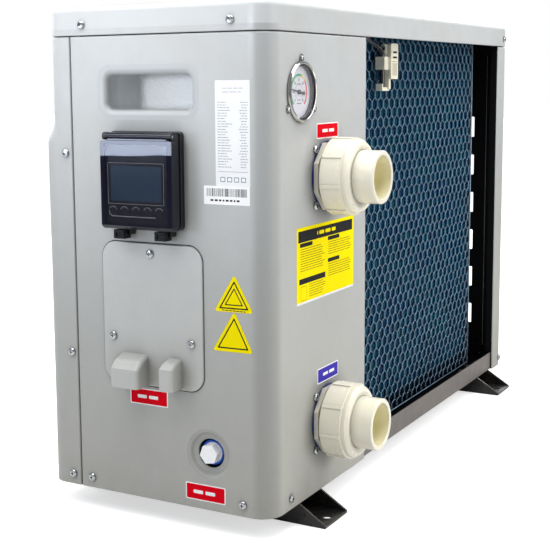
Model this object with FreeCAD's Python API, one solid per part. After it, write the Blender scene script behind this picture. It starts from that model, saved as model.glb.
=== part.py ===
import FreeCAD, Part
import math
import os

# Swimming pool heat pump, side-connected box type.
# Frame: origin on the floor at the centre of the four foot holes, +Z up,
# -Y the fan side, +Y the coil and water-connection side, +X the control side.

V = FreeCAD.Vector

# ---- driving dimensions, mm --------------------------------------------------
W2 = 422.5            # half width of the casing
YR = 148.0            # rear face
YF = -148.0           # upper front face
YB = -159.0           # lower, bulged front face
FOOT = 25.0           # foot rail height
Z0 = FOOT             # casing bottom
ZS = 562.0            # seam between panels and lid
ZT = 595.0            # lid top
WALL = 3.0
RC = 26.0             # rear corner radius
RF = 20.0             # front corner radius
YSEAM = -112.8        # front panel to side panel seam
XOPEN = 168.7         # coil opening, control side
XPOST = -365.5        # coil opening, far side
RAIL_X = 325.0        # foot rail centre
RAIL_W = 60.0
RAIL_Y = 181.0        # half length of a rail
HOLE_Y = 169.0        # foot hole from the centre
HOLE_R = 6.0
UX = 281.0            # water unions
UZ = (109.0, 399.0)   # inlet, outlet
BORE_R = 25.1         # socket for 50 mm pipe
BORE_L = 31.0
TAIL_R = 30.6
FAN_X, FAN_Z = -118.0, 234.0
FAN_R = 178.0
OPEN_R = 186.0
GX, GZ = 348.6, 496.4  # gauge
DY, DZ = 68.0, 91.0    # drain

os.makedirs("parts", exist_ok=True)
made = {}


def box(x0, x1, y0, y1, z0, z1):
    return Part.makeBox(x1 - x0, y1 - y0, z1 - z0, V(x0, y0, z0))


def cyl(x, y, z, ax, r, h):
    return Part.makeCylinder(r, h, V(x, y, z), V(*ax))


AX, AY, AZ = (1, 0, 0), (0, 1, 0), (0, 0, 1)


def fuse(shapes):
    s = shapes[0]
    if len(shapes) > 1:
        s = s.fuse(shapes[1:])
    return s.removeSplitter()


def cut(s, tools):
    return s.cut(tools if isinstance(tools, list) else [tools])


def rrect(plane, at, a0, a1, b0, b1, r, h):
    """Rounded rectangle prism: plane 'x' has a=y b=z and runs along +X from at."""
    def p(a, b):
        return V(at, a, b) if plane == "x" else (V(a, at, b) if plane == "y" else V(a, b, at))
    c = math.cos(math.pi / 4)
    pts = [((a0 + r, b0), (a1 - r, b0)), ((a1, b0 + r), (a1, b1 - r)),
           ((a1 - r, b1), (a0 + r, b1)), ((a0, b1 - r), (a0, b0 + r))]
    mids = [(a1 - r + r * c, b0 + r - r * c), (a1 - r + r * c, b1 - r + r * c),
            (a0 + r - r * c, b1 - r + r * c), (a0 + r - r * c, b0 + r - r * c)]
    e = []
    for i in range(4):
        s, t = pts[i]
        e.append(Part.LineSegment(p(*s), p(*t)).toShape())
        n = pts[(i + 1) % 4][0]
        e.append(Part.Arc(p(*t), p(*mids[i]), p(*n)).toShape())
    f = Part.Face(Part.Wire(e))
    d = {"x": V(h, 0, 0), "y": V(0, h, 0), "z": V(0, 0, h)}[plane]
    return f.extrude(d)


def poly(pts, vec):
    w = Part.makePolygon([V(*p) for p in pts] + [V(*pts[0])])
    return Part.Face(w).extrude(V(*vec))


def prism(n, x, y, z, axis, rc, h, a0=0.0):
    """Regular n-gon prism, circumradius rc, along axis 'x', 'y' or 'z'."""
    pts = []
    for i in range(n):
        t = math.radians(a0 + 360.0 * i / n)
        c, s = rc * math.cos(t), rc * math.sin(t)
        pts.append({"x": (x, y + c, z + s), "y": (x + c, y, z + s), "z": (x + c, y + s, z)}[axis])
    return poly(pts, {"x": (h, 0, 0), "y": (0, h, 0), "z": (0, 0, h)}[axis])


def fil(s, r, pick):
    es = [e for e in s.Edges if pick(e)]
    return s.makeFillet(r, es) if es else s


def span(e):
    b = e.BoundBox
    return b.XMin, b.XMax, b.YMin, b.YMax, b.ZMin, b.ZMax


def near(a, b, t=0.02):
    return abs(a - b) < t


def tube(pts, r, bend):
    """Round bar along straight runs joined by tangent arcs."""
    P = [V(*p) for p in pts]
    edges, last = [], P[0]
    for i in range(1, len(P) - 1):
        a, b = (P[i] - P[i - 1]).normalize(), (P[i + 1] - P[i]).normalize()
        th = a.getAngle(b)
        R = min(bend, 0.45 * min((P[i] - P[i - 1]).Length, (P[i + 1] - P[i]).Length) / math.tan(th / 2))
        t = R * math.tan(th / 2)
        s, e = P[i] - a * t, P[i] + b * t
        n = (b - a).normalize()
        c = P[i] + n * (R / math.cos(th / 2))
        m = c - n * R
        edges.append(Part.LineSegment(last, s).toShape())
        edges.append(Part.Arc(s, m, e).toShape())
        last = e
    edges.append(Part.LineSegment(last, P[-1]).toShape())
    w = Part.Wire(edges)
    d = (P[1] - P[0]).normalize()
    prof = Part.Wire([Part.Circle(P[0], d, r).toShape()])
    return w.makePipeShell([prof], True, False)


def turn(pts, x, z, y0=0.0):
    """Solid of revolution about a line along Y through (x, z). pts are (radius, y)."""
    w = Part.makePolygon([V(x + r, y, z) for r, y in pts] + [V(x + pts[0][0], pts[0][1], z)])
    return Part.Face(w).revolve(V(x, y0, z), V(0, 1, 0), 360)


def turnx(pts, y, z):
    """The same about a line along X. pts are (radius, x)."""
    w = Part.makePolygon([V(x, y + r, z) for r, x in pts] + [V(pts[0][1], y + pts[0][0], z)])
    return Part.Face(w).revolve(V(0, y, z), V(1, 0, 0), 360)


def turnz(pts, x, y):
    w = Part.makePolygon([V(x + r, y, z) for r, z in pts] + [V(x + pts[0][0], y, pts[0][1])])
    return Part.Face(w).revolve(V(x, y, 0), V(0, 0, 1), 360)


def out(name, s):
    made[name] = s


# ---- screw positions: (axis, sign, point on the outer face) --------------------
LID_ZS = 574.0
side_screws = []          # (y, z) on both side faces
for y, z in ((-95.6, LID_ZS), (101.2, LID_ZS), (-123.0, 427.0), (-122.0, 189.5), (-125.0, 38.3), (-96.5, 38.0), (111.4, 38.6)):
    side_screws.append((y, z))
rear_screws = [(-393.5, LID_ZS), (-399.5, 38.2), (376.2, 38.2)]
cover_screws = [(-5.8, 315.5), (-58.9, 216.3), (47.7, 216.2)]
XC = 424.5               # outer face of the wiring cover
SH = 2.0                 # screw shank radius


def screw(x, y, z, d, x_is="x"):
    """Pan head screw with its head seated on the point, shank running inwards."""
    if x_is == "x":
        head = turnx([(0, 0), (4.8, 0), (4.8, 1.4 * d), (4.2, 2.3 * d), (2.9, 2.9 * d), (0, 3.1 * d)], 0, 0)
        slot = [box(-4, 4, -4, 4, -4, 4).translated(V(4 * d + 1.9 * d, 0, 0))]
        sh = cyl(0, 0, 0, (-d, 0, 0), SH, 12.0)
        s = head.fuse([sh]).removeSplitter()
        cross = box(min(1.7 * d, 4 * d), max(1.7 * d, 4 * d), -0.55, 0.55, -2.4, 2.4).fuse(
            [box(min(1.7 * d, 4 * d), max(1.7 * d, 4 * d), -2.4, 2.4, -0.55, 0.55)])
        s = s.cut(cross)
    else:
        head = turn([(0, 0), (4.8, 0), (4.8, 1.4), (4.2, 2.3), (2.9, 2.9), (0, 3.1)], 0, 0)
        sh = cyl(0, 0, 0, (0, -1, 0), SH, 12.0)
        s = head.fuse([sh]).removeSplitter()
        cross = box(-0.55, 0.55, 1.7, 4, -2.4, 2.4).fuse([box(-2.4, 2.4, 1.7, 4, -0.55, 0.55)])
        s = s.cut(cross)
    s.translate(V(x, y, z))
    return s


def screw_holes(tools_r=2.15):
    t = []
    for y, z in side_screws:
        t.append(cyl(W2 + 6, y, z, (-1, 0, 0), tools_r, 20))
        t.append(cyl(-W2 - 6, y, z, (1, 0, 0), tools_r, 20))
    for x, z in rear_screws:
        t.append(cyl(x, YR + 6, z, (0, -1, 0), tools_r, 20))
    return t


# ---- base ---------------------------------------------------------------------
PX, PY0, PY1 = W2 - 3.6, -144.0, YR - 3.6
pan = rrect("z", Z0, -PX, PX, PY0, PY1, 23.5, 28.0)
pan = pan.cut(rrect("z", Z0 + 2.0, -PX + 2, PX - 2, PY0 + 2, PY1 - 2, 21.5, 40.0))
bolt_xy = [(sx * RAIL_X + dx, y) for sx in (-1, 1) for dx in (-19.0, 19.0) for y in (-118.0, 118.0)]
pan = cut(pan, [cyl(x, y, Z0 - 1, AZ, 4.25, 5) for x, y in bolt_xy] + screw_holes()
          + [cyl(40, 40, Z0 - 1, AZ, 9.0, 5), cyl(FAN_X, -150, FAN_Z, AY, OPEN_R + 4.2, 45)])
out("base_pan", pan)

for nm, sx in (("right", 1), ("left", -1)):
    cx = sx * RAIL_X
    a, t, w = RAIL_Y, 3.0, RAIL_W / 2
    side = [(cx + w - t, -a, 0), (cx + w - t, a, 0), (cx + w - t, a, 3.2), (cx + w - t, 146, Z0),
            (cx + w - t, -146, Z0), (cx + w - t, -a, 3.2)]
    s1 = poly(side, (t, 0, 0))
    s2 = poly([(x - 2 * w + t, y, z) for x, y, z in side], (t, 0, 0))
    plate = rrect("z", 0, cx - w, cx + w, -a, a, 2.5, t)
    lips = [box(cx + w - 16, cx + w - t + 0.5, -140, 140, Z0 - t, Z0), box(cx - w + t - 0.5, cx - w + 16, -140, 140, Z0 - t, Z0)]
    r = fuse([plate, s1, s2] + lips)
    r = cut(r, [cyl(cx, y, -1, AZ, HOLE_R, 6) for y in (-HOLE_Y, HOLE_Y)] + [cyl(x, y, Z0 - 6, AZ, 4.25, 8) for x, y in bolt_xy])
    out("foot_rail_" + nm, r)

bolts = []
for x, y in bolt_xy:
    b = fuse([prism(6, x, y, Z0 + 2, "z", 7.5, 5.0), cyl(x, y, Z0 - 11, AZ, 4.0, 14), prism(6, x, y, Z0 - 9.5, "z", 7.5, 6.5)])
    bolts.append(b)
out("foot_bolts", Part.makeCompound(bolts))

# ---- side panels ----------------------------------------------------------------
ZP = ZS - 0.9            # top of the panels, leaving the seam


def wrap(x_in, flange, sx):
    """Side panel wrapping round the rear corner to x_in, with a return flange."""
    c = math.cos(math.pi / 4)

    def ring(o, inner):
        x, y, r = W2 - o, YR - o, RC - o
        return x, y, r
    x, y, r = ring(0, 0)
    xi, yi, ri = ring(WALL, 1)
    cx, cy = W2 - RC, YR - RC
    L = Part.LineSegment
    pts = [
        L(V(x, YSEAM, 0), V(x, cy, 0)).toShape(),
        Part.Arc(V(x, cy, 0), V(cx + r * c, cy + r * c, 0), V(cx, y, 0)).toShape(),
        L(V(cx, y, 0), V(x_in, y, 0)).toShape(),
        L(V(x_in, y, 0), V(x_in, YR - flange, 0)).toShape(),
        L(V(x_in, YR - flange, 0), V(x_in + WALL, YR - flange, 0)).toShape(),
        L(V(x_in + WALL, YR - flange, 0), V(x_in + WALL, yi, 0)).toShape(),
        L(V(x_in + WALL, yi, 0), V(cx, yi, 0)).toShape(),
        Part.Arc(V(cx, yi, 0), V(cx + ri * c, cy + ri * c, 0), V(xi, cy, 0)).toShape(),
        L(V(xi, cy, 0), V(xi, YSEAM, 0)).toShape(),
        L(V(xi, YSEAM, 0), V(x, YSEAM, 0)).toShape(),
    ]
    s = Part.Face(Part.Wire(pts)).extrude(V(0, 0, ZP - Z0))
    s.translate(V(0, 0, Z0))

    def edge(e):
        x0, x1, y0, y1, z0, z1 = span(e)
        if near(z0, ZP) and near(z1, ZP):      # outer top edge
            return (near(x0, W2) and near(x1, W2)) or (near(y0, YR) and near(y1, YR)) or (x1 > W2 - 0.1 and y1 > YR - 0.1)
        vert = near(x0, x1) and near(y0, y1)
        return vert and ((near(x0, W2) and near(y0, YSEAM)) or (near(x0, x_in) and near(y0, YR)))
    s = fil(s, 2.2, edge)
    # tongues behind the front panel strip and inside the lid skirt
    g = 0.3
    s = fuse([s,
              box(W2 - WALL - g - 3, W2 - WALL - g, YSEAM - 17, YSEAM + 10, Z0 + 30, ZP - 12),
              box(W2 - WALL - g - 1, W2 - WALL + 0.4, YSEAM + 0.6, YSEAM + 10, Z0 + 30, ZP - 12),
              box(W2 - WALL - g - 3, W2 - WALL - g, YSEAM + 5, YR - RC - 2, ZP - 12, ZP + 22),
              box(W2 - WALL - g - 1, W2 - WALL + 0.4, YSEAM + 5, YR - RC - 2, ZP - 12, ZP - 3)])
    # the return flange stops above the rim of the base pan
    s = s.cut(box(x_in - 0.5, x_in + WALL + 0.2, YR - flange - 1, YR - WALL - 0.02, Z0 - 1, Z0 + 28.7))
    if sx < 0:
        s = s.mirror(V(0, 0, 0), V(1, 0, 0))
    return s


rp = wrap(XOPEN, 14.0, 1)
# ledge behind the wiring cover
CY0, CY1, CZ0, CZ1, CR = -73.0, 63.0, 161.0, 327.5, 19.0
ledge = rrect("x", W2 - 6.0, CY0 - 7, CY1 + 7, CZ0 - 7, CZ1 + 7, 24.0, 3.0)
ledge = ledge.cut(rrect("x", W2 - 8.0, -46, 36, 175, 300, 6.0, 6.0))
rp = rp.cut(rrect("x", W2 - 3.0, CY0 - 1.0, CY1 + 1.0, CZ0 - 1.0, CZ1 + 1.0, CR + 1.0, 6.0))
rp = fuse([rp, ledge])
# opening for the handle cup
HY0, HY1, HZ0, HZ1 = -64.0, 50.0, 477.6, 517.5
rp = rp.cut(rrect("x", W2 - 12, HY0 - 11, HY1 + 11, HZ0 - 11, HZ1 + 11, 17.0, 30))
# drain: a dished ring pressed inwards round a round hole
rp = rp.cut(cyl(W2 - 12, DY, DZ, AX, 29.0, 30))
dish = turnx([(29.5, W2), (25.5, W2 - 1.4), (22.5, W2 - 4.0), (17.0, W2 - 5.0), (17.0, W2 - 7.6), (23.5, W2 - 6.6),
              (27.0, W2 - 4.2), (29.5, W2 - 3.0)], DY, DZ)
rp = fuse([rp, dish])
# rear holes: two unions, gauge and their screws
holes = []
U_SC = 32.4
for z in UZ:
    holes.append(cyl(UX, YR + 5, z, (0, -1, 0), 28.0, 15))
    holes += [cyl(UX + a, YR + 5, z + b, (0, -1, 0), 2.15, 15) for a in (-U_SC, U_SC) for b in (-U_SC, U_SC)]
holes.append(cyl(GX, YR + 5, GZ, (0, -1, 0), 30.4, 15))
G_ANG = (90.0, -30.0, 210.0)
GE = 37.2
for t in G_ANG:
    holes.append(cyl(GX + GE * math.cos(math.radians(t)), YR + 5, GZ + GE * math.sin(math.radians(t)), (0, -1, 0), 1.35, 15))
holes += [cyl(W2 + 6, y, z, (-1, 0, 0), 2.15, 20) for y, z in cover_screws]
holes += screw_holes()
rp = cut(rp, holes)
out("side_panel_right", rp)

lp = wrap(-XPOST, 12.5, -1)
slots = []
for k in range(6):
    zt = 446.0 - 64.4 * k
    slots.append(rrect("x", -W2 - 5, 19.0, 92.0, zt - 34, zt, 1.6, 15))
lp = cut(lp, slots + [rrect("x", -W2 - 18, HY0 - 11, HY1 + 11, HZ0 - 11, HZ1 + 11, 17.0, 30)] + screw_holes())
out("side_panel_left", lp)

cup = rrect("x", W2 - 10, HY0 - 11, HY1 + 11, HZ0 - 11, HZ1 + 11, 17.0, 10)
cup = fuse([cup, rrect("x", W2 - 70, HY0 - 3, HY1 + 3, HZ0 - 3, HZ1 + 3, 11.0, 64)])
pocket = rrect("x", W2 - 67, HY0, HY1, HZ0, HZ1, 8.0, 80)
pocket = fil(pocket, 6.0, lambda e: near(span(e)[0], W2 - 67) and near(span(e)[1], W2 - 67))
cup = cup.cut(pocket)
cup = fil(cup, 6.5, lambda e: near(span(e)[0], W2) and near(span(e)[1], W2) and span(e)[2] > HY0 - 2 and span(e)[3] < HY1 + 2
          and span(e)[4] > HZ0 - 2 and span(e)[5] < HZ1 + 2)
out("handle_cup_right", cup)
out("handle_cup_left", cup.mirror(V(0, 0, 0), V(1, 0, 0)))

# ---- front panel and grille -----------------------------------------------------


def front_block(o, ztop):
    """Front panel block inset by o, with the S-shaped step between the faces."""
    yb, yf = YB + o, YF + o
    r = 27.5
    L = Part.LineSegment
    x = W2 - o
    zb = Z0 - (5 if o else 0)
    e = [L(V(-x, YSEAM - 0.9 + (5 if o else 0), zb), V(-x, yb, zb)).toShape(),
         L(V(-x, yb, zb), V(-x, yb, 437)).toShape(),
         Part.Arc(V(-x, yb, 437), V(-x, yb + r - r * math.cos(math.radians(18.435)), 437 + r * math.sin(math.radians(18.435))),
                  V(-x, yb + 5.5, 453.5)).toShape(),
         Part.Arc(V(-x, yb + 5.5, 453.5), V(-x, yf - r + r * math.cos(math.radians(18.435)), 470 - r * math.sin(math.radians(18.435))),
                  V(-x, yf, 470)).toShape(),
         L(V(-x, yf, 470), V(-x, yf, ztop)).toShape(),
         L(V(-x, yf, ztop), V(-x, YSEAM - 0.9 + (5 if o else 0), ztop)).toShape(),
         L(V(-x, YSEAM - 0.9 + (5 if o else 0), ztop), V(-x, YSEAM - 0.9 + (5 if o else 0), zb)).toShape()]
    s = Part.Face(Part.Wire(e)).extrude(V(2 * x, 0, 0))
    return fil(s, RF - o, lambda e: near(abs(span(e)[0]), x) and near(span(e)[0], span(e)[1]) and span(e)[3] < YF + o + 0.05
               and span(e)[5] - span(e)[4] > 3)


fb = front_block(0, ZP)


def ftop(e):
    x0, x1, y0, y1, z0, z1 = span(e)
    if near(z0, ZP) and near(z1, ZP) and y1 < YSEAM - 0.95 or (near(z0, ZP) and near(z1, ZP) and near(abs(x0), W2) and near(x0, x1)):
        return True
    return near(x0, x1) and near(y0, y1) and near(abs(x0), W2) and near(y0, YSEAM - 0.9)


fb = fil(fb, 2.2, ftop)
fb = fb.cut(front_block(WALL, ZP + 5))
fb = fb.cut(cyl(FAN_X, YB - 5, FAN_Z, AY, OPEN_R, 60))
mouth = turn([(OPEN_R, YB + 0.6), (OPEN_R + 3, YB + 1.2), (OPEN_R + 3, -112), (OPEN_R, -112)], FAN_X, FAN_Z)
fb = fuse([fb, mouth])
fb = cut(fb, screw_holes() + [cyl(FAN_X + (OPEN_R + 14.4) * math.cos(math.radians(45 + 90 * k)), YB - 3,
                                 FAN_Z + (OPEN_R + 14.4) * math.sin(math.radians(45 + 90 * k)), AY, 2.15, 10) for k in range(4)])
out("front_panel", fb)

# round fan guard: rings on radial bars, standing on the front face
GR = OPEN_R + 15
guard = [turn([(GR - 9, YB - 4), (GR - 9, YB), (GR, YB), (GR, YB - 2.5), (GR - 1.5, YB - 4)], FAN_X, FAN_Z)]
disc = cyl(FAN_X, YB - 8, FAN_Z, AY, GR - 8, 3.0)
gaps = []
nr = 12
for k in range(nr):
    r0 = 34 + k * 13.2
    r1 = r0 + 10.4
    ringcut = cyl(FAN_X, YB - 12, FAN_Z, AY, r1, 12).cut(cyl(FAN_X, YB - 12, FAN_Z, AY, r0, 12))
    gaps.append(ringcut)
bars = []
for k in range(12):
    b = box(20, GR - 6, -8, -5, -1.7, 1.7)
    b.rotate(V(0, 0, 0), V(0, 1, 0), 30.0 * k)
    b.translate(V(FAN_X, YB, FAN_Z))
    bars.append(b)
disc = disc.cut(gaps)
tabs = []
for k in range(4):
    t = math.radians(45 + 90 * k)
    tabs.append(cyl(FAN_X + (OPEN_R + 14.4) * math.cos(t), YB - 4, FAN_Z + (OPEN_R + 14.4) * math.sin(t), AY, 9.0, 4.0))
rim = turn([(GR - 10, YB - 8), (GR - 10, YB - 3), (GR - 6, YB - 3), (GR - 6, YB - 6.5), (GR - 7.5, YB - 8)], FAN_X, FAN_Z)
g = fuse([disc, rim] + bars + guard + tabs)
g = cut(g, [cyl(FAN_X + (OPEN_R + 14.4) * math.cos(math.radians(45 + 90 * k)), YB - 9,
               FAN_Z + (OPEN_R + 14.4) * math.sin(math.radians(45 + 90 * k)), AY, 2.15, 12) for k in range(4)])
out("fan_grille", g)

# ---- lid ----------------------------------------------------------------------


def lid_block(o, z0, z1):
    x, y0, y1 = W2 - o, YF + o, YR - o
    s = box(-x, x, y0, y1, z0, z1)
    s = fil(s, RC - o, lambda e: near(span(e)[0], span(e)[1]) and near(span(e)[2], y1) and near(span(e)[2], span(e)[3]))
    return fil(s, RF - o, lambda e: near(span(e)[0], span(e)[1]) and near(span(e)[2], y0) and near(span(e)[2], span(e)[3]))


lid = lid_block(0, ZS, ZT)
lid = fil(lid, 7.0, lambda e: near(span(e)[4], ZT) and near(span(e)[5], ZT))
lid = lid.cut(lid_block(WALL, ZS - 5, ZT - WALL))
lid = fil(lid, 1.2, lambda e: near(span(e)[4], ZS) and near(span(e)[5], ZS) and (
    near(abs(span(e)[0]), W2) and near(span(e)[0], span(e)[1]) or near(span(e)[2], YR) or near(span(e)[3], YF)))
out("top_lid", cut(lid, screw_holes()))

# ---- screws of the panels, cover and guard --------------------------------------
sc = []
for y, z in side_screws:
    sc += [screw(W2, y, z, 1), screw(-W2, y, z, -1)]
for x, z in rear_screws:
    sc.append(screw(x, YR, z, 1, "y"))
for y, z in cover_screws:
    sc.append(screw(XC, y, z, 1))
for k in range(4):
    t = math.radians(45 + 90 * k)
    s = screw(0, 0, 0, 1, "y").mirror(V(0, 0, 0), V(0, 1, 0))
    s.translate(V(FAN_X + (OPEN_R + 14.4) * math.cos(t), YB - 4, FAN_Z + (OPEN_R + 14.4) * math.sin(t)))
    sc.append(s)
out("panel_screws", Part.makeCompound(sc))

# ---- partition ------------------------------------------------------------------
PTX = 177.0
pt = box(PTX, PTX + 2, -141, 132, Z0 + 2, ZP - 2)
pt = fuse([pt, box(PTX, PTX + 14, -141, -139, Z0 + 2, ZP - 2), box(PTX, PTX + 14, -138, 128, Z0 + 2, Z0 + 4)])
pt = cut(pt, [cyl(PTX - 5, 85, 450, AX, 8, 30), cyl(PTX - 5, 85, 80, AX, 7, 30)])
out("partition_plate", pt)

# ---- wiring cover with two cable hoods --------------------------------------------
cover = rrect("x", W2 - 3.0, CY0, CY1, CZ0, CZ1, CR, XC - W2 + 3.0)
cover = fil(cover, 1.6, lambda e: near(span(e)[0], XC) and near(span(e)[1], XC))


def hood(y0, y1, zb, zt, zf, dx, rr, t):
    pts = [(XC - 1, y0, zb), (XC - 1, y0, zt), (XC, y0, zt), (XC + dx * 0.62, y0, zf + (zt - zf) * 0.62), (XC + dx, y0, zf), (XC + dx, y0, zb)]
    o = poly(pts, (0, y1 - y0, 0))

    def pick(e):
        a = span(e)
        if a[0] < XC + 0.5:
            return False
        if a[5] - a[4] < 0.02 and a[4] < zb + 0.02:
            return False
        return True

    def side(e):
        a = span(e)
        return a[1] > XC + 1 and not (near(a[4], zb) and near(a[5], zb)) and (near(a[3], y0) and near(a[2], y0) or near(a[3], y1) and near(a[2], y1)) and not near(a[0], XC - 1)
    try:
        o = fil(o, rr, side)
    except Exception:
        print("hood side fillet failed", y0)
    i = poly([(XC - 12, y0 + t, zb - 2), (XC - 12, y0 + t, zt - 9), (XC + dx * 0.45, y0 + t, zf + (zt - zf) * 0.5 - 5),
              (XC + dx - t, y0 + t, zf - 5), (XC + dx - t, y0 + t, zb - 2)], (0, y1 - y0 - 2 * t, 0))
    return o, i


o1, i1 = hood(-49.0, -11.0, CZ0 + 0.6, 198.0, 184.0, 23.5, 4.6, 2.6)
o2, i2 = hood(16.3, 34.8, CZ0 + 2.6, 198.0, 189.0, 22.5, 3.8, 2.2)
cover = fuse([cover, o1, o2])
# hollow under each hood, and a passage through the plate into the casing
cover = cut(cover, [i1.common(box(XC - 0.01, XC + 40, -80, 80, CZ0 - 10, 250)), i2.common(box(XC - 0.01, XC + 40, -80, 80, CZ0 - 10, 250)),
                    rrect("x", XC - 10, -45, -15, CZ0 + 16.5, CZ0 + 26, 3.0, 12), rrect("x", XC - 10, 19.5, 31.5, CZ0 + 16.5, CZ0 + 27, 3.0, 12)])
cover = cover.cut(rrect("x", W2 - 5.0, CY0 + 5, CY1 - 5, CZ0 + 45, CZ1 - 5, CR - 5, 4.5).cut(
    fuse([cyl(W2 - 6, y, z, AX, 8.2, 10) for y, z in cover_screws])))
cover = cut(cover, [cyl(W2 + 6, y, z, (-1, 0, 0), 2.15, 20) for y, z in cover_screws])
out("wiring_cover", cover)

# terminal carrier behind the cover
tc = [box(W2 - 26, W2 - 22, -52, 42, 195, 280), box(W2 - 26, W2 - 6, -52, -49, 195, 280), box(W2 - 26, W2 - 6, 39, 42, 195, 280),
      box(W2 - 22, W2 - 10, -38, 28, 228, 252)]
for k in range(5):
    tc.append(box(W2 - 10, W2 - 6.5, -38 + 13.2 * k - (0 if k else 0), -36 + 13.2 * k, 228, 252))
tcs = fuse(tc)
tcs = cut(tcs, [cyl(W2 - 14, -31 + 13.2 * k, 240, AX, 3.0, 8) for k in range(5)])
out("terminal_block", tcs)

# ---- controller ------------------------------------------------------------------
BY0, BY1, BZ0, BZ1 = -54.0, 40.5, 344.5, 454.4
HXA, HZA = 443.0, 449.4          # lid hinge axis, along Y
base = rrect("x", W2, BY0, BY1, BZ0, BZ1, 5.0, 7.0)
base = fil(base, 1.2, lambda e: near(span(e)[0], W2 + 7) and near(span(e)[1], W2 + 7))
mid = rrect("x", W2 + 6, BY0 + 1.6, BY1 - 1.6, BZ0 + 2.2, BZ1 - 1.6, 4.0, 9.5)
rim2 = rrect("x", W2 + 6, BY0 + 4.4, BY1 - 4.4, BZ0 + 6.3, 440.0, 3.0, 17.0)
base = fuse([base, mid, rim2])
base = base.cut(rrect("x", W2 + 3, BY0 + 6.0, BY1 - 6.0, BZ0 + 8.0, 438.4, 2.5, 30))
kn = []
for y0, y1 in ((BY0 + 1.6, -47.0), (33.6, BY1 - 1.6)):
    k = fuse([cyl(HXA, y0, HZA, AY, 4.4, y1 - y0), box(W2 + 10, HXA, y0, y1, HZA - 4.4, HZA + 3.4)])
    kn.append(k)
base = fuse([base] + kn)
base = cut(base, [box(W2 + 15.4, HXA + 6, -47.0, 33.6, 441.9, 460), cyl(HXA, BY0 - 2, HZA, AY, 1.5, 110)])
# latch pivot recess
LY = (-34.6, 20.4)
LXA, LZA = W2 + 9.0, BZ0 - 3.6
lugs = []
for y in LY:
    lugs += [box(W2, W2 + 12, y - 8.4, y - 6.8, BZ0 - 7.0, BZ0 + 0.4), box(W2, W2 + 12, y + 6.8, y + 8.4, BZ0 - 7.0, BZ0 + 0.4)]
base = fuse([base] + lugs)
base = cut(base, [cyl(LXA, y - 12, LZA, AY, 1.56, 24) for y in LY])
out("controller_base", base)

MY0, MY1, MZ0, MZ1 = -47.8, 34.3, 352.7, 438.2
fas = rrect("x", W2 + 8, MY0, MY1, MZ0, MZ1, 2.2, 15.6)
SY0, SY1, SZ0, SZ1 = -42.8, 25.6, 377.0, 416.6
fas = cut(fas, [rrect("x", W2 + 21.8, SY0, SY1, SZ0, SZ1, 2.0, 5.0)])
frame_lip = rrect("x", W2 + 23.1, SY0 - 2.4, SY1 + 2.4, SZ0 - 2.4, SZ1 + 2.4, 3.4, 0.9).cut(
    rrect("x", W2 + 22, SY0, SY1, SZ0, SZ1, 2.0, 3.0))
fas = fuse([fas, frame_lip])
KEY_Z = 365.4
KEY_Y = [-39.9, -24.4, -8.9, 6.6, 22.1]
fas = cut(fas, [cyl(W2 + 19.6, y, KEY_Z, AX, 4.55, 10) for y in KEY_Y])
out("controller_fascia", fas)
out("display_glass", rrect("x", W2 + 21.8, SY0 + 0.05, SY1 - 0.05, SZ0 + 0.05, SZ1 - 0.05, 1.95, 1.6))
for k, y in enumerate(KEY_Y):
    key = cyl(W2 + 20.5, y, KEY_Z, AX, 4.5, 3.9)
    key = fil(key, 0.8, lambda e: near(span(e)[0], W2 + 24.4) and near(span(e)[1], W2 + 24.4))
    out("key_%d" % (k + 1), key)

LDY0, LDY1, LDZ0, LDZ1 = -53.6, 41.6, 345.4, 444.6
XL0, XL1 = W2 + 16.0, W2 + 27.2
cl = rrect("x", XL0, LDY0, LDY1, LDZ0, LDZ1, 2.0, XL1 - XL0)
cl = cl.cut(poly([(XL1 + 0.5, LDY0 - 5, LDZ0 - 0.5), (XL1 - 4.6, LDY0 - 5, LDZ0 - 0.5), (XL1 + 0.5, LDY0 - 5, LDZ0 + 4.6)], (0, 110, 0)))
cl = cl.cut(rrect("x", XL0 - 1, LDY0 + 2.0, LDY1 - 2.0, LDZ0 + 4.4, LDZ1 - 2.0, 1.6, XL1 - XL0 - 0.2))
bar = cyl(HXA, -46.7, HZA, AY, 4.1, 80.0)
web = box(HXA - 1.6, HXA + 2.8, -46.0, 32.6, LDZ1 - 1.0, HZA - 1)
cl = fuse([cl, web, bar])
cl = cut(cl, [cyl(HXA, -50, HZA, AY, 1.56, 90)])
out("controller_lid", cl)
out("hinge_pin", cyl(HXA, BY0 + 1.6, HZA, AY, 1.5, BY1 - BY0 - 3.2))
for nm, y in (("left", LY[0]), ("right", LY[1])):
    b = box(LXA - 2, W2 + 21.6, y - 6.7, y + 6.7, BZ0 - 11.0, BZ0 - 0.6)
    b = fil(b, 1.6, lambda e: near(span(e)[1], W2 + 21.6) and near(span(e)[0], W2 + 21.6) and not near(span(e)[5], BZ0 - 0.6))
    b = cut(fuse([b, cyl(LXA, y - 6.7, LZA, AY, 3.0, 13.4), cyl(LXA, y - 8.4, LZA, AY, 1.5, 16.8)]),
            [box(W2 + 12, W2 + 17, y - 4.2, y + 4.2, BZ0 - 12, BZ0 - 9.0), box(W2 + 20.4, W2 + 24, y - 3.6, y + 1.0, BZ0 - 8.4, BZ0 - 3.4)])
    out("latch_" + nm, b)

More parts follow.
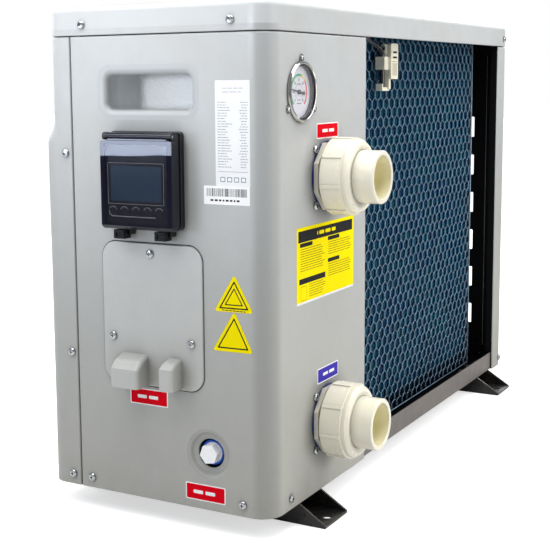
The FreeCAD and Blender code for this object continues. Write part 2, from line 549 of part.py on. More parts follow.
# ---- gauge ----------------------------------------------------------------------
gc = turn([(0, 118), (30, 118), (30, YR), (33.8, YR), (34.2, YR + 0.6), (34.2, YR + 2.0), (33.2, YR + 3.4), (31.6, YR + 3.8), (30.2, YR + 3.2),
           (29.2, YR + 2.0), (29.2, YR - 4.0), (0, YR - 4.0)], GX, GZ)
ears = []
for t in G_ANG:
    c, s = math.cos(math.radians(t)), math.sin(math.radians(t))
    ex, ez = GX + GE * c, GZ + GE * s
    ears.append(cyl(ex, YR, ez, AY, 4.4, 1.3))
    m = box(0, 9.5, YR, YR + 1.3, -4.4, 4.4)
    m.rotate(V(0, 0, 0), V(0, 1, 0), -t)
    m.translate(V(GX + 27 * c, 0, GZ + 27 * s))
    ears.append(m.cut(cyl(GX, YR - 1, GZ, AY, 33.0, 5)))
gc = fuse([gc] + ears)
gc = cut(gc, [cyl(GX + GE * math.cos(math.radians(t)), YR - 1, GZ + GE * math.sin(math.radians(t)), AY, 1.35, 6) for t in G_ANG]
         + [cyl(GX, 141.0, GZ, AY, 1.04, 10)])
out("gauge_case", gc)
out("gauge_dial", cyl(GX, YR - 4.0, GZ, AY, 29.1, 0.8).cut(cyl(GX, YR - 5, GZ, AY, 1.6, 4)))
ndl = poly([(-23.0, 0, 0.35), (-23.0, 0, -0.35), (0, 0, -1.0), (14, 0, -1.6), (14, 0, 1.6), (0, 0, 1.0)], (0, 0.6, 0))
ndl = fuse([ndl, cyl(0, -0.5, 0, AY, 2.6, 1.6), cyl(0, -4.4, 0, AY, 1.0, 5.0)])
ndl.rotate(V(0, 0, 0), V(0, 1, 0), 180 - 9.4)   # tip towards +X, slightly up
ndl.translate(V(GX, YR - 2.4, GZ))
out("gauge_needle", ndl)
out("gauge_lens", turn([(0, YR + 0.4), (29.15, YR + 0.4), (29.15, YR + 1.6), (0, YR + 1.6)], GX, GZ))
gs = []
for t in G_ANG:
    ex, ez = GX + GE * math.cos(math.radians(t)), GZ + GE * math.sin(math.radians(t))
    h = turn([(0, 0), (2.6, 0), (2.4, 0.9), (1.4, 1.6), (0, 1.7)], 0, 0)
    h = fuse([h, cyl(0, 0, 0, (0, -1, 0), 1.3, 8)]).cut(box(-0.4, 0.4, 0.9, 3, -2.0, 2.0))
    h.translate(V(ex, YR + 1.3, ez))
    gs.append(h)
out("gauge_screws", Part.makeCompound(gs))

# ---- water unions ------------------------------------------------------------------
gask, uscr = [], []
for nm, z in (("inlet", UZ[0]), ("outlet", UZ[1])):
    gask.append(cyl(UX, YR, z, AY, 40.8, 1.6).cut(cyl(UX, YR - 1, z, AY, 30, 5)))
    body = fuse([prism(8, UX, YR + 1.6, z, "y", 42.0, 5.4, 22.5),
                 turn([(21, YR + 1.6), (36.0, YR + 1.6), (36.0, YR + 30), (21, YR + 30)], UX, z),
                 turn([(21, YR - 12), (26.5, YR - 12), (26.5, YR + 3), (21, YR + 3)], UX, z)])
    body = body.cut(cyl(UX, YR - 20, z, AY, 21, 80))
    body = fil(body, 1.0, lambda e: near(span(e)[2], YR + 7.0) and near(span(e)[3], YR + 7.0) and e.Length > 20 and e.Length < 60)
    out(nm + "_union_body", body)
    nut = turn([(36.08, YR + 10.5), (44.2, YR + 10.5), (44.9, YR + 11.2), (44.9, YR + 36.6), (42.8, YR + 37.2), (42.5, YR + 41.5), (40.0, YR + 44.2),
                (36.0, YR + 45.0), (32.0, YR + 44.4), (30.68, YR + 43.4), (30.68, YR + 38.2), (36.08, YR + 38.2)], UX, z)
    ribs = []
    for k in range(8):
        t = 33.0 + 45.0 * k
        rb = box(43.0, 46.3, YR + 11.2, YR + 36.2, -2.2, 2.2)
        rb = fil(rb, 0.9, lambda e: near(span(e)[0], 46.3) and near(span(e)[1], 46.3))
        rb.rotate(V(0, 0, 0), V(0, 1, 0), -t)
        rb.translate(V(UX, 0, z))
        ribs.append(rb)
    out(nm + "_union_nut", fuse([nut] + ribs))
    tail = turn([(21, YR + 30.0), (35.9, YR + 30.0), (35.9, YR + 38.1), (TAIL_R, YR + 38.1), (TAIL_R, YR + 69.2), (TAIL_R - 0.8, YR + 70),
                 (BORE_R + 0.6, YR + 70), (BORE_R, YR + 69.4), (BORE_R, YR + 70 - BORE_L), (21, YR + 70 - BORE_L)], UX, z)
    out(nm + "_union_tail", tail)
    for a in (-U_SC, U_SC):
        for b in (-U_SC, U_SC):
            s = screw(0, 0, 0, 1, "y")
            s.translate(V(UX + a, YR, z + b))
            uscr.append(s)
out("union_gaskets", Part.makeCompound(gask))
out("union_screws", Part.makeCompound(uscr))

# ---- water heat exchanger with its drain -------------------------------------------
HXX, HXY, HXR = 281.0, 60.0, 60.0
hx = turnz([(0, 52), (40, 52), (54, 57), (HXR, 66), (HXR, 440), (54, 449), (40, 454), (0, 454)], HXX, HXY)
feet = [box(HXX - 34, HXX + 34, HXY - 3, HXY + 3, Z0 + 2, 62), box(HXX - 3, HXX + 3, HXY - 34, HXY + 34, Z0 + 2, 62)]
hx = fuse([hx] + feet)
for z in UZ:
    hx = fuse([hx, cyl(UX, 100, z, AY, 26.5, YR - 12 - 100)])
    hx = hx.cut(cyl(UX, 95, z, AY, 21, 60))
DS0, DS1 = 330.0, W2 - 14.0
hx = fuse([hx, cyl(DS0, DY, DZ, AX, 9.0, 30)])
out("heat_exchanger", hx)
soc = cyl(360.0, DY, DZ, AX, 13.0, DS1 - 360.0).cut(cyl(372.0, DY, DZ, AX, 8.55, 60))
out("drain_socket", fuse([soc, prism(6, 364, DY, DZ, "x", 17.5, 8.0)]))
out("drain_gasket", cyl(DS1, DY, DZ, AX, 14.0, 3.0).cut(cyl(DS1 - 1, DY, DZ, AX, 8.6, 6)))
plug = fuse([prism(6, DS1 + 3.0, DY, DZ, "x", 11.6, 13.0, 10.0), cyl(DS1 + 3.0, DY, DZ, AX, 11.9, 2.5), cyl(DS1 - 18, DY, DZ, AX, 8.5, 22)])
out("drain_plug", plug)

# ---- refrigerant side ---------------------------------------------------------------
CX, CY, CRD = 285.0, -72.0, 56.0
comp = turnz([(0, 58), (44, 58), (53, 66), (CRD, 76), (CRD, 298), (52, 310), (36, 320), (0, 324)], CX, CY)
cf = []
mounts = []
for k in range(3):
    t = math.radians(30 + 120 * k)
    x, y = CX + 56 * math.cos(t), CY + 56 * math.sin(t)
    leg = box(0, 56, -12, 12, 52, 56)
    leg.rotate(V(0, 0, 0), V(0, 0, 1), 30 + 120 * k)
    leg.translate(V(CX, CY, 0))
    cf += [leg, cyl(x, y, 52, AZ, 12, 4)]
    mounts.append(fuse([cyl(x, y, Z0 + 2, AZ, 12, 25 - 0.0), cyl(x, y, Z0 + 2, AZ, 4.6, 32), cyl(x, y, 56.0, AZ, 9.0, 3.0)]))
comp = fuse([comp, cyl(CX, CY, 52, AZ, 40, 10)] + cf)
comp = cut(comp, [cyl(CX + 56 * math.cos(math.radians(30 + 120 * k)), CY + 56 * math.sin(math.radians(30 + 120 * k)), 50, AZ, 4.6, 8) for k in range(3)])
out("compressor", comp)
out("compressor_mounts", Part.makeCompound(mounts))
acc = turnz([(0, 110), (18, 112), (26, 120), (27, 128), (27, 280), (26, 288), (18, 296), (0, 298)], 380.0, -80.0)
out("accumulator", acc)
vz = 400.0
valve = fuse([cyl(CX - 42, CY, vz, AX, 13, 84), cyl(CX, CY, vz - 24, AZ, 7.5, 24), cyl(CX - 23, CY, vz, AZ, 7.5, 24),
              cyl(CX, CY, vz, AZ, 7.5, 24), cyl(CX + 23, CY, vz, AZ, 7.5, 24), box(CX - 18, CX + 18, CY - 34, CY - 12, vz - 11, vz + 11)])
out("four_way_valve", valve)
PR = 6.0
pipes = [tube([(CX, CY, 318), (CX, CY, 345), (CX, CY + 0.02, vz - 24)], PR, 10) if False else cyl(CX, CY, 316, AZ, PR, vz - 24 - 316),
         tube([(CX - 23, CY, vz + 24), (CX - 23, CY, 450), (203, CY, 450), (203, 85, 450), (150, 85, 450)], PR, 16),
         tube([(CX, CY, vz + 24), (CX, CY, 446), (380, -80, 446), (380, -80, 290)], PR, 14),
         tube([(380, -80, 118), (380, -80, 90), (328, -74, 90)], PR, 14),
         tube([(CX + 23, CY, vz + 24), (CX + 23, CY, 436), (CX + 23, 30, 418)], PR, 10),
         tube([(240, 62, 80), (203, 62, 80), (188, 85, 80), (150, 85, 80)], PR - 1.5, 12)]
block = [hx, comp, acc, valve, pt]
pipes = [p.cut(block).cut(box(100, 172.0, 40, 130, 20, 560)) for p in pipes]
keep = []
for p in pipes:
    keep.append(max(p.Solids, key=lambda q: q.Volume))

# ---- evaporator ------------------------------------------------------------------------
EX0, EX1, EY0, EY1, EZ0, EZ1 = -352.0, 165.0, 66.0, 104.0, Z0 + 5.0, ZP - 3.0
out("evaporator_fins", box(EX0, EX1, EY0, EY1, EZ0, EZ1))
ends = []
for x0, d in ((EX0 - 2.0, -1), (EX1, 1)):
    p = box(x0, x0 + 2.0, EY0 - 8, EY1 + 4, Z0 + 2.0, ZP - 2)
    ends.append(p)
bends = []
rows = (EY0 + 9.5, EY1 - 9.5)
for y in rows:
    for k in range(10):
        zc = 55.0 + 50.0 * k + (0 if y == rows[0] else 12.5)
        for x, d in ((EX0 - 2.0, -1), (EX1 + 2.0, 1)):
            zz = zc if d < 0 else zc + 12.5
            if zz + 12.5 > EZ1 - 4:
                continue
            c = Part.Wire([Part.Circle(V(x, y, zz - 6.25), V(1, 0, 0), 3.4).toShape()])
            b = Part.Face(c).revolve(V(x, y, zz), V(0, d * 1, 0), 180)
            if b.Volume < 0:
                b = b.reversed()
            if (b.CenterOfMass.x - x) * d < 0:
                b = Part.Face(c).revolve(V(x, y, zz), V(0, -d * 1, 0), 180)
                if b.Volume < 0:
                    b = b.reversed()
            bends.append(b)
out("evaporator_end_plates", Part.makeCompound(ends))
out("refrigerant_pipes", Part.makeCompound(keep + bends))
gx0, gx1 = EX0 - 2.0, EX1 + 2.0
gd = box(gx0, gx1, EY1 + 4.0, EY1 + 5.2, Z0 + 28, ZP - 4)
fr = [box(gx0, gx0 + 6, EY1 + 4.0, EY1 + 6.4, Z0 + 28, ZP - 4), box(gx1 - 6, gx1, EY1 + 4.0, EY1 + 6.4, Z0 + 28, ZP - 4)]
out("coil_guard", fuse([gd] + fr))

# ---- fan ------------------------------------------------------------------------------
MF, MB = -48.0, 36.0
motor = turn([(0, MF), (30, MF), (46, MF + 4), (52, MF + 12), (52, MB - 10), (46, MB - 3), (40, MB), (0, MB)], FAN_X, FAN_Z)
motor = motor.cut(cyl(FAN_X, MF - 5, FAN_Z, AY, 6.06, 70))
out("fan_motor", motor)
legs = []
for dx in (-62.0, 62.0):
    legs += [box(FAN_X + dx - 11, FAN_X + dx + 11, MB, MB + 2.5, Z0 + 2, ZP - 3), box(FAN_X + dx - 11, FAN_X + dx + 11, MB - 22, MB, Z0 + 2, Z0 + 4.5)]
br = fuse(legs + [box(FAN_X - 62, FAN_X + 62, MB, MB + 2.5, FAN_Z - 45, FAN_Z - 25), box(FAN_X - 62, FAN_X + 62, MB, MB + 2.5, FAN_Z + 25, FAN_Z + 45)])
out("fan_bracket", br)
hub0, hub1 = -134.0, -78.0
hub = turn([(0, hub0), (34, hub0), (41, hub0 + 4), (44, hub0 + 12), (44, hub1), (38, hub1), (38, hub0 + 14), (16, hub0 + 14), (16, hub1), (0, hub1)], FAN_X, FAN_Z)
blades = []
for k in range(3):
    b = box(38, FAN_R + 20, -1.4, 1.4, -62, 62)
    b.rotate(V(0, 0, 0), V(1, 0, 0), 27)
    c = box(0, 400, -27.0, 27.0, -200, 200)
    b = b.common(c).common(cyl(0, -60, 0, AY, FAN_R, 120))
    b.rotate(V(0, 0, 0), V(0, 1, 0), 90 + 120 * k)
    b.translate(V(FAN_X, -104.5, FAN_Z))
    blades.append(b.cut(cyl(FAN_X, hub0 - 5, FAN_Z, AY, 41.0, 80)))
fan = fuse([hub] + blades)
fan = fan.cut(cyl(FAN_X, hub0 - 5, FAN_Z, AY, 6.0, 90))
out("fan_blades", fan)
out("fan_shaft", cyl(FAN_X, hub0 - 14, FAN_Z, AY, 6.0, MF + 60 - hub0 + 14))
nutf = prism(6, FAN_X, hub0 - 8, FAN_Z, "y", 12.5, 8.0).cut(cyl(FAN_X, hub0 - 20, FAN_Z, AY, 6.0, 30))
out("fan_nut", nutf)

# ---- electrical box -----------------------------------------------------------------------
eb = box(192, 408, -140, -96, 482, 556)
eb = eb.cut(box(194, 406, -138, -94, 484, 554))
eb = fuse([eb, box(196, 386, -134, -132, 490, 548), box(204, 250, -132, -112, 500, 540), cyl(300, -132, 518, AY, 17, 26),
           box(330, 376, -132, -116, 504, 534)] + [box(x, x + 4, -138, -132, 494, 544) for x in (200, 378)])
out("electrical_box", eb)

# ---- ambient sensor --------------------------------------------------------------------------
SX, SY = 52.5, 120.0
plate = rrect("y", 126, 21.0, 45.5, 510, 557, 2.4, 4.0)
hold = [plate, box(30, 36, EY1 + 6.6, 126.5, 512, 556), box(36, 60, 113.5, 126.5, 522.5, 539.5),
        cyl(41.5, 119.5, 539, AZ, 5.6, 17), box(36, 41.5, 114.5, 124.5, 539, 555),
        box(38, 44.5, 115.5, 126.5, 497, 523), box(38, 62.5, 115.5, 124.5, 494.5, 499.2), box(59.6, 62.5, 115.5, 124.5, 494.5, 504)]
hold = fuse(hold)
hold = cut(hold, [cyl(SX, SY, 498, AZ, 3.65, 60), box(25, 40, 128.2, 132, 544.4, 546.6), box(25, 40, 128.2, 132, 537.6, 539.8)]
           + [box(26.0 + 4.0 * q, 27.8 + 4.0 * q, 128.4, 132, 515, 531) for q in range(4)] + [cyl(41.5, 119.5, 552, AZ, 2.4, 8)])
out("sensor_holder", hold)
probe = cyl(SX, SY, 501, AZ, 3.6, 41)
leads = [tube([(SX + 1.0, SY + a, 540), (SX + 1.6, SY + a, 547), (64 + b, 117 + a, 553.6), (80 + b, 114.4 + a * 0.4, 560 - b * 0.3), (112, 115.0 + a * 0.6, 573)], 1.15, 12)
         for a, b in ((1.6, 0.0), (-1.6, 3.0))]
pr = fuse([probe] + leads)
out("ambient_sensor", pr)

# ---- write ------------------------------------------------------------------------------------
for f in os.listdir("parts"):
    if f.endswith(".step") and f[:-5] not in made:
        os.remove(os.path.join("parts", f))
bad = 0
for name, s in made.items():
    sol = s.Solids
    ok = all(q.isValid() and q.Volume > 0 for q in sol) and len(sol) > 0
    if not ok:
        bad += 1
        print("BAD", name, len(sol), [round(q.Volume, 1) for q in sol][:6], [q.isValid() for q in sol][:6])
    if len(sol) == 1:
        s = sol[0]
    else:
        s = Part.makeCompound(sol)
    s.exportStep("parts/%s.step" % name)
print(len(made), "nodes,", bad, "bad")
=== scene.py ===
import bpy, bmesh, math, random
import numpy as np
from mathutils import Vector, Matrix

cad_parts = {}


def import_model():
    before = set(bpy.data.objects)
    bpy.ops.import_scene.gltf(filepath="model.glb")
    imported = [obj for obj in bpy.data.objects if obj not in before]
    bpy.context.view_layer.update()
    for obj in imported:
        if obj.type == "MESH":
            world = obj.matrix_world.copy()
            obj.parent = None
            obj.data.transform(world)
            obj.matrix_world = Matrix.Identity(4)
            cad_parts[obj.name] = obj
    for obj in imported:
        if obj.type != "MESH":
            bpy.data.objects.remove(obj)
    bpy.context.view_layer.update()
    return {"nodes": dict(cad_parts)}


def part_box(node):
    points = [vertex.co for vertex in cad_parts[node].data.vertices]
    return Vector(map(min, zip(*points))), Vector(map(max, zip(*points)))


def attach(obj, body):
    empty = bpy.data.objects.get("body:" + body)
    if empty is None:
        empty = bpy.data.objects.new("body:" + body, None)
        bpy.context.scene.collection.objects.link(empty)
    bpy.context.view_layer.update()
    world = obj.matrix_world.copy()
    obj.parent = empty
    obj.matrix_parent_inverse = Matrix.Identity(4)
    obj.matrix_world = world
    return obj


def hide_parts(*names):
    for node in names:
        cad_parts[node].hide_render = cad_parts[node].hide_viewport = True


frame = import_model()
N = frame["nodes"]
random.seed(7)
RNG = np.random.RandomState(11)
M = 0.001
WORLD = 0.27


# ------------------------------------------------------------------ materials
def lin(r, g, b):
    """sRGB 0-255 to linear"""
    def f(c):
        c = c / 255.0
        return c / 12.92 if c <= 0.04045 else ((c + 0.055) / 1.055) ** 2.4
    return (f(r), f(g), f(b))


class Mat:
    def __init__(self, name):
        self.m = bpy.data.materials.new(name)
        self.m.use_nodes = True
        self.t = self.m.node_tree
        self.t.nodes.clear()
        self.out = self.t.nodes.new("ShaderNodeOutputMaterial")
        self.b = self.t.nodes.new("ShaderNodeBsdfPrincipled")
        self.t.links.new(self.b.outputs[0], self.out.inputs[0])
        self.co = self.t.nodes.new("ShaderNodeTexCoord").outputs["Object"]

    def node(self, kind, **kw):
        n = self.t.nodes.new(kind)
        for k, v in kw.items():
            setattr(n, k, v)
        return n

    def link(self, a, b):
        self.t.links.new(a, b)

    def noise(self, scale, detail=3.0, rough=0.55, stretch=None, dist=0.0):
        src = self.co
        if stretch:
            mp = self.node("ShaderNodeMapping")
            mp.inputs["Scale"].default_value = stretch
            self.link(src, mp.inputs[0])
            src = mp.outputs[0]
        n = self.node("ShaderNodeTexNoise")
        n.inputs["Scale"].default_value = scale
        n.inputs["Detail"].default_value = detail
        n.inputs["Roughness"].default_value = rough
        n.inputs["Distortion"].default_value = dist
        self.link(src, n.inputs["Vector"])
        return n.outputs[0]

    def maprange(self, x, a, b, c, d, clamp=True):
        n = self.node("ShaderNodeMapRange")
        n.clamp = clamp
        self.link(x, n.inputs[0])
        for i, v in zip((1, 2, 3, 4), (a, b, c, d)):
            n.inputs[i].default_value = v
        return n.outputs[0]

    def mixcol(self, fac, a, b, blend="MIX"):
        n = self.node("ShaderNodeMix", data_type="RGBA", blend_type=blend)
        if isinstance(fac, (int, float)):
            n.inputs[0].default_value = fac
        else:
            self.link(fac, n.inputs[0])
        for i, v in ((6, a), (7, b)):
            if isinstance(v, tuple):
                n.inputs[i].default_value = (v[0], v[1], v[2], 1)
            else:
                self.link(v, n.inputs[i])
        return n.outputs[2]

    def math(self, op, a, b=None):
        n = self.node("ShaderNodeMath", operation=op)
        for i, v in ((0, a), (1, b)):
            if v is None:
                continue
            if isinstance(v, (int, float)):
                n.inputs[i].default_value = v
            else:
                self.link(v, n.inputs[i])
        return n.outputs[0]

    def bump(self, h, dist, strength=1.0, prev=None):
        n = self.node("ShaderNodeBump")
        n.inputs["Strength"].default_value = strength
        n.inputs["Distance"].default_value = dist
        self.link(h, n.inputs["Height"])
        if prev is not None:
            self.link(prev, n.inputs["Normal"])
        return n.outputs[0]

    def shade(self, dist, floor_, power=1.0):
        """Darken the colour in creases and beside neighbours: painted shade from ambient occlusion."""
        n = self.node("ShaderNodeAmbientOcclusion")
        n.samples = 6
        n.inputs["Distance"].default_value = dist
        f = self.math("POWER", n.outputs["AO"], power)
        f = self.maprange(f, 0.0, 1.0, floor_, 1.0)
        src = self.b.inputs["Base Color"].links[0].from_socket
        c = self.node("ShaderNodeCombineColor")
        for i in range(3):
            self.link(f, c.inputs[i])
        m = self.mixcol(1.0, src, c.outputs[0], "MULTIPLY")
        self.link(m, self.b.inputs["Base Color"])

    def xyz(self):
        n = self.node("ShaderNodeSeparateXYZ")
        self.link(self.co, n.inputs[0])
        return n.outputs


def surf(name, rgb, rough=0.5, metal=0.0, var=0.05, vscale=25.0, rvar=0.08, bump=0.00002, bscale=900.0,
         strength=0.5, spec=0.5, coat=0.0, alpha=1.0, grime=0.0, scuff=0.0, sub=0.0, bump2=None, streak=None):
    """A moulded or painted finish: cloudy colour, uneven gloss, fine surface grain, optional grime and scuffs."""
    k = Mat(name)
    c = lin(*rgb)
    lo = tuple(max(0.0, v * (1 - var)) for v in c)
    hi = tuple(min(1.0, v * (1 + var)) for v in c)
    big = k.noise(vscale, 4.0, 0.6)
    col = k.mixcol(k.maprange(big, 0.3, 0.7, 0, 1), lo, hi)
    fine = k.noise(bscale, 2.0, 0.5, stretch=streak)
    col = k.mixcol(k.maprange(fine, 0.35, 0.65, 0, var * 0.8), col, tuple(v * 0.8 for v in c))
    r = k.maprange(k.noise(vscale * 2.3, 3.0, 0.6), 0.3, 0.7, max(0.02, rough - rvar), min(1.0, rough + rvar))
    if grime:
        z = k.xyz()[2]
        g = k.math("MULTIPLY", k.maprange(z, 0.03, 0.16, 1.0, 0.0), k.maprange(k.noise(18.0, 6.0, 0.7), 0.42, 0.72, 0.0, grime))
        col = k.mixcol(g, col, lin(120, 112, 100))
        r = k.math("ADD", r, k.math("MULTIPLY", g, 0.25))
    if scuff:
        s = k.maprange(k.noise(60.0, 6.0, 0.75, stretch=(1.0, 1.0, 9.0)), 0.66, 0.74, 0.0, scuff)
        col = k.mixcol(s, col, tuple(min(1.0, v * 1.5 + 0.05) for v in c))
        r = k.math("ADD", r, k.math("MULTIPLY", s, 0.2))
    k.link(col, k.b.inputs["Base Color"])
    k.link(r, k.b.inputs["Roughness"])
    k.b.inputs["Metallic"].default_value = metal
    k.b.inputs["Specular IOR Level"].default_value = spec
    k.b.inputs["Coat Weight"].default_value = coat
    k.b.inputs["Coat Roughness"].default_value = 0.08
    if alpha < 1:
        k.b.inputs["Alpha"].default_value = alpha
    if sub:
        k.b.inputs["Subsurface Weight"].default_value = sub
        k.b.inputs["Subsurface Radius"].default_value = (0.003, 0.002, 0.0012)
    nrm = k.bump(fine, bump, strength)
    if bump2:
        nrm = k.bump(k.noise(bump2[0], 2.0, 0.5), bump2[1], 1.0, nrm)
    k.link(nrm, k.b.inputs["Normal"])
    return k


MAT = {}


def add(name, *a, **kw):
    k = surf(name, *a, **kw)
    MAT[name] = k.m
    return k


# casing: textured light grey coating; the darkening towards the floor is partly painted shading,
# and the inner side of the sheet is coloured nearly black
def casing(name, inside=True, lift=0):
    k = Mat(name)
    X, Y, Z = k.xyz()
    hi, mid, lo = (lin(a + lift, b + lift, c + lift) for a, b, c in ((195, 198, 200), (183, 185, 183), (177, 176, 168)))
    tone = k.mixcol(k.maprange(Z, 0.28, 0.56, 0.0, 1.0), mid, hi)
    tone = k.mixcol(k.maprange(Z, 0.05, 0.32, 1.0, 0.0), tone, lo)
    warm = k.mixcol(0.5, tone, lin(178 + lift, 177 + lift, 170 + lift))
    col = k.mixcol(k.maprange(k.noise(4.5, 5.0, 0.6), 0.35, 0.65, 0, 0.8), tone, warm)
    col = k.mixcol(k.maprange(k.noise(55.0, 4.0, 0.6), 0.35, 0.7, 0, 0.10), col, lin(150, 152, 152))
    grain = k.noise(1500.0, 2.0, 0.6)
    col = k.mixcol(k.maprange(grain, 0.36, 0.66, 0.0, 0.14), col, lin(140, 142, 142))
    # flat top of the lid darkened so the overhead light doesn't burn it out, painted shade; a guess, not an observed
    # finish
    top = k.math("MULTIPLY", k.maprange(Z, 0.5942, 0.5949, 0.0, 1.0), k.maprange(k.noise(7.0, 5.0, 0.6), 0.3, 0.7, 0.80, 1.0))
    col = k.mixcol(top, col, lin(146, 148, 149))
    # control-side edge of the lid lightened: shading painted into the colour
    edge = k.math("MULTIPLY", k.maprange(Z, 0.5690, 0.5700, 0.0, 0.32), k.maprange(Z, 0.5925, 0.5942, 1.0, 0.0))
    edge = k.math("MULTIPLY", edge, k.maprange(X, 0.400, 0.416, 0.0, 1.0))
    col = k.mixcol(edge, col, lin(214, 216, 217))
    # far rear corner darkened: shading painted into the colour
    far = k.math("MULTIPLY", k.maprange(X, -0.25, -0.42, 0.0, 1.0), k.maprange(Y, 0.10, 0.12, 0.0, 1.0))
    far = k.math("MULTIPLY", far, k.maprange(Z, 0.05, 0.50, 0.46, 0.20))
    col = k.mixcol(far, col, lin(134, 141, 132))
    low = k.maprange(Z, 0.02, 0.20, 1.0, 0.0)
    dust = k.math("MULTIPLY", low, k.maprange(k.noise(22.0, 6.0, 0.68), 0.38, 0.75, 0.03, 0.34))
    col = k.mixcol(dust, col, lin(152, 148, 138))
    mark = k.maprange(k.noise(34.0, 7.0, 0.75, stretch=(1.0, 1.0, 5.0)), 0.70, 0.77, 0.0, 0.10)
    col = k.mixcol(mark, col, lin(206, 206, 203))
    r = k.maprange(k.noise(12.0, 4.0, 0.6), 0.3, 0.7, 0.36, 0.47)
    r = k.math("ADD", r, k.math("MULTIPLY", dust, 0.25))
    if inside:
        ax = k.math("ABSOLUTE", X)
        # distance from a core with the casing's rounded rear corners
        dx = k.math("MAXIMUM", k.math("SUBTRACT", ax, 0.3965), 0.0)
        dy = k.math("MAXIMUM", k.math("SUBTRACT", Y, 0.122), 0.0)
        d = k.math("SQRT", k.math("ADD", k.math("MULTIPLY", dx, dx), k.math("MULTIPLY", dy, dy)))
        near = k.math("LESS_THAN", d, 0.0243)
        # rounded corner darkened: shading painted into the colour
        bend = k.math("MULTIPLY", k.maprange(k.math("MINIMUM", dx, dy), 0.001, 0.009, 0.0, 0.26), k.maprange(Z, 0.5690, 0.5700, 1.0, 0.0))
        col = k.mixcol(bend, col, lin(108, 110, 110))
        # the handle cup's rim and the front panel keep the outer colour
        keep = k.math("GREATER_THAN", Y, -0.100)
        below = k.math("LESS_THAN", Z, 0.5915)
        ins = k.math("MULTIPLY", k.math("MULTIPLY", near, keep), below)
        # sunk features of the control side keep the outer colour: the drain dish and the cover's ledge
        sunk = k.math("MULTIPLY", k.math("GREATER_THAN", X, 0.4125), k.math("LESS_THAN", Z, 0.36))
        ins = k.math("MULTIPLY", ins, k.math("SUBTRACT", 1.0, sunk))
        col = k.mixcol(ins, col, lin(10, 10, 11))
        r = k.math("ADD", r, k.math("MULTIPLY", ins, 0.15))
        k.link(k.maprange(ins, 0.0, 1.0, 0.45, 0.16), k.b.inputs["Specular IOR Level"])
    k.link(col, k.b.inputs["Base Color"])
    k.link(r, k.b.inputs["Roughness"])
    if not inside:
        k.b.inputs["Specular IOR Level"].default_value = 0.45
    n = k.bump(grain, 0.00005, 0.55)
    n = k.bump(k.noise(260.0, 2.0, 0.5), 0.00004, 0.5, n)
    n = k.bump(k.noise(9.0, 1.0, 0.4), 0.0006, 0.35, n)
    k.link(n, k.b.inputs["Normal"])
    k.shade(0.028, 0.42, 1.5)
    if lift:
        k.b.inputs["Coat Weight"].default_value = 0.25
        k.b.inputs["Coat Roughness"].default_value = 0.16
    MAT[name] = k.m


casing("casing")
casing("cover_grey", inside=False, lift=14)
casing("casing_solid", inside=False)
add("foot_black", (25, 24, 24), rough=0.30, var=0.16, vscale=40, bump=0.00005, bscale=700, scuff=0.22, grime=0.12, coat=0.2)
k = add("pan_grey", (118, 112, 108), rough=0.42, metal=0.25, var=0.08, vscale=18, bump=0.00003, bscale=500, grime=0.3, scuff=0.2)
# inside of the tray painted nearly black: shading, not a known finish
X, Y, Z = k.xyz()
dx = k.math("MAXIMUM", k.math("SUBTRACT", k.math("ABSOLUTE", X), 0.3954), 0.0)
dy = k.math("MAXIMUM", k.math("SUBTRACT", k.math("ABSOLUTE", Y), 0.1207), 0.0)
tray = k.math("LESS_THAN", k.math("SQRT", k.math("ADD", k.math("MULTIPLY", dx, dx), k.math("MULTIPLY", dy, dy))), 0.0225)
src = k.b.inputs["Base Color"].links[0].from_socket
k.link(k.mixcol(tray, src, lin(12, 12, 14)), k.b.inputs["Base Color"])
k.link(k.maprange(tray, 0.0, 1.0, 0.25, 0.0), k.b.inputs["Metallic"])
k.link(k.maprange(tray, 0.0, 1.0, 0.5, 0.15), k.b.inputs["Specular IOR Level"])
k = add("screw_chrome", (206, 208, 210), rough=0.20, metal=1.0, var=0.05, vscale=300, rvar=0.06, bump=0.00001, bscale=2500)
k.shade(0.006, 0.10, 1.5)
add("zinc_steel", (176, 178, 182), rough=0.36, metal=0.9, var=0.14, vscale=55, rvar=0.12, bump=0.00002, bscale=700)
add("steel_pin", (190, 192, 196), rough=0.22, metal=1.0, var=0.05, vscale=200, bump=0.00001, bscale=1500)
add("black_plastic", (11, 11, 20), rough=0.22, var=0.08, vscale=60, rvar=0.03, bump=0.0000005, bscale=1400, spec=0.5, coat=0.3)
add("key_rubber", (20, 20, 24), rough=0.45, var=0.12, vscale=200, bump=0.00002, bscale=2200)
add("gauge_steel", (206, 203, 198), rough=0.12, metal=1.0, var=0.04, vscale=160, rvar=0.05, bump=0.000006, bscale=1800)
k = surf("gauge_steel", (206, 203, 198), rough=0.12, metal=1.0, var=0.04, vscale=160, rvar=0.05, bump=0.000006, bscale=1800)
# inner wall of the bezel coloured dark and not metallic: painted shade inside the bezel
X, Y, Z = k.xyz()
dx, dz = k.math("SUBTRACT", X, 0.3486), k.math("SUBTRACT", Z, 0.4964)
d = k.math("SQRT", k.math("ADD", k.math("MULTIPLY", dx, dx), k.math("MULTIPLY", dz, dz)))
inner = k.maprange(d, 0.0305, 0.0313, 1.0, 0.0)
src = k.b.inputs["Base Color"].links[0].from_socket
k.link(k.mixcol(inner, src, lin(24, 24, 30)), k.b.inputs["Base Color"])
k.link(k.math("SUBTRACT", 1.0, inner), k.b.inputs["Metallic"])
k.shade(0.006, 0.25, 1.2)
MAT["gauge_steel"] = k.m
add("dial_white", (232, 231, 238), rough=0.38, var=0.02, vscale=90, bump=0.000008, bscale=2000)
# dark colour for the sheet inside the gauge bezel: painted shade
add("wall_painted_shade", (20, 21, 27), rough=0.35, var=0.10, vscale=200, bump=0.00001, bscale=1500)
add("needle_black", (16, 16, 18), rough=0.35, var=0.1, vscale=300, bump=0.000008, bscale=2500)
k = surf("ivory", (244, 239, 221), rough=0.24, var=0.012, vscale=30, rvar=0.05, bump=0.000008, bscale=900, spec=0.6, coat=0.3)
X, Y, Z = k.xyz()
# inside the union bores the colour is lighter and yellower than outside: painted light in the bores
dx = k.math("SUBTRACT", X, 0.281)
inb = None
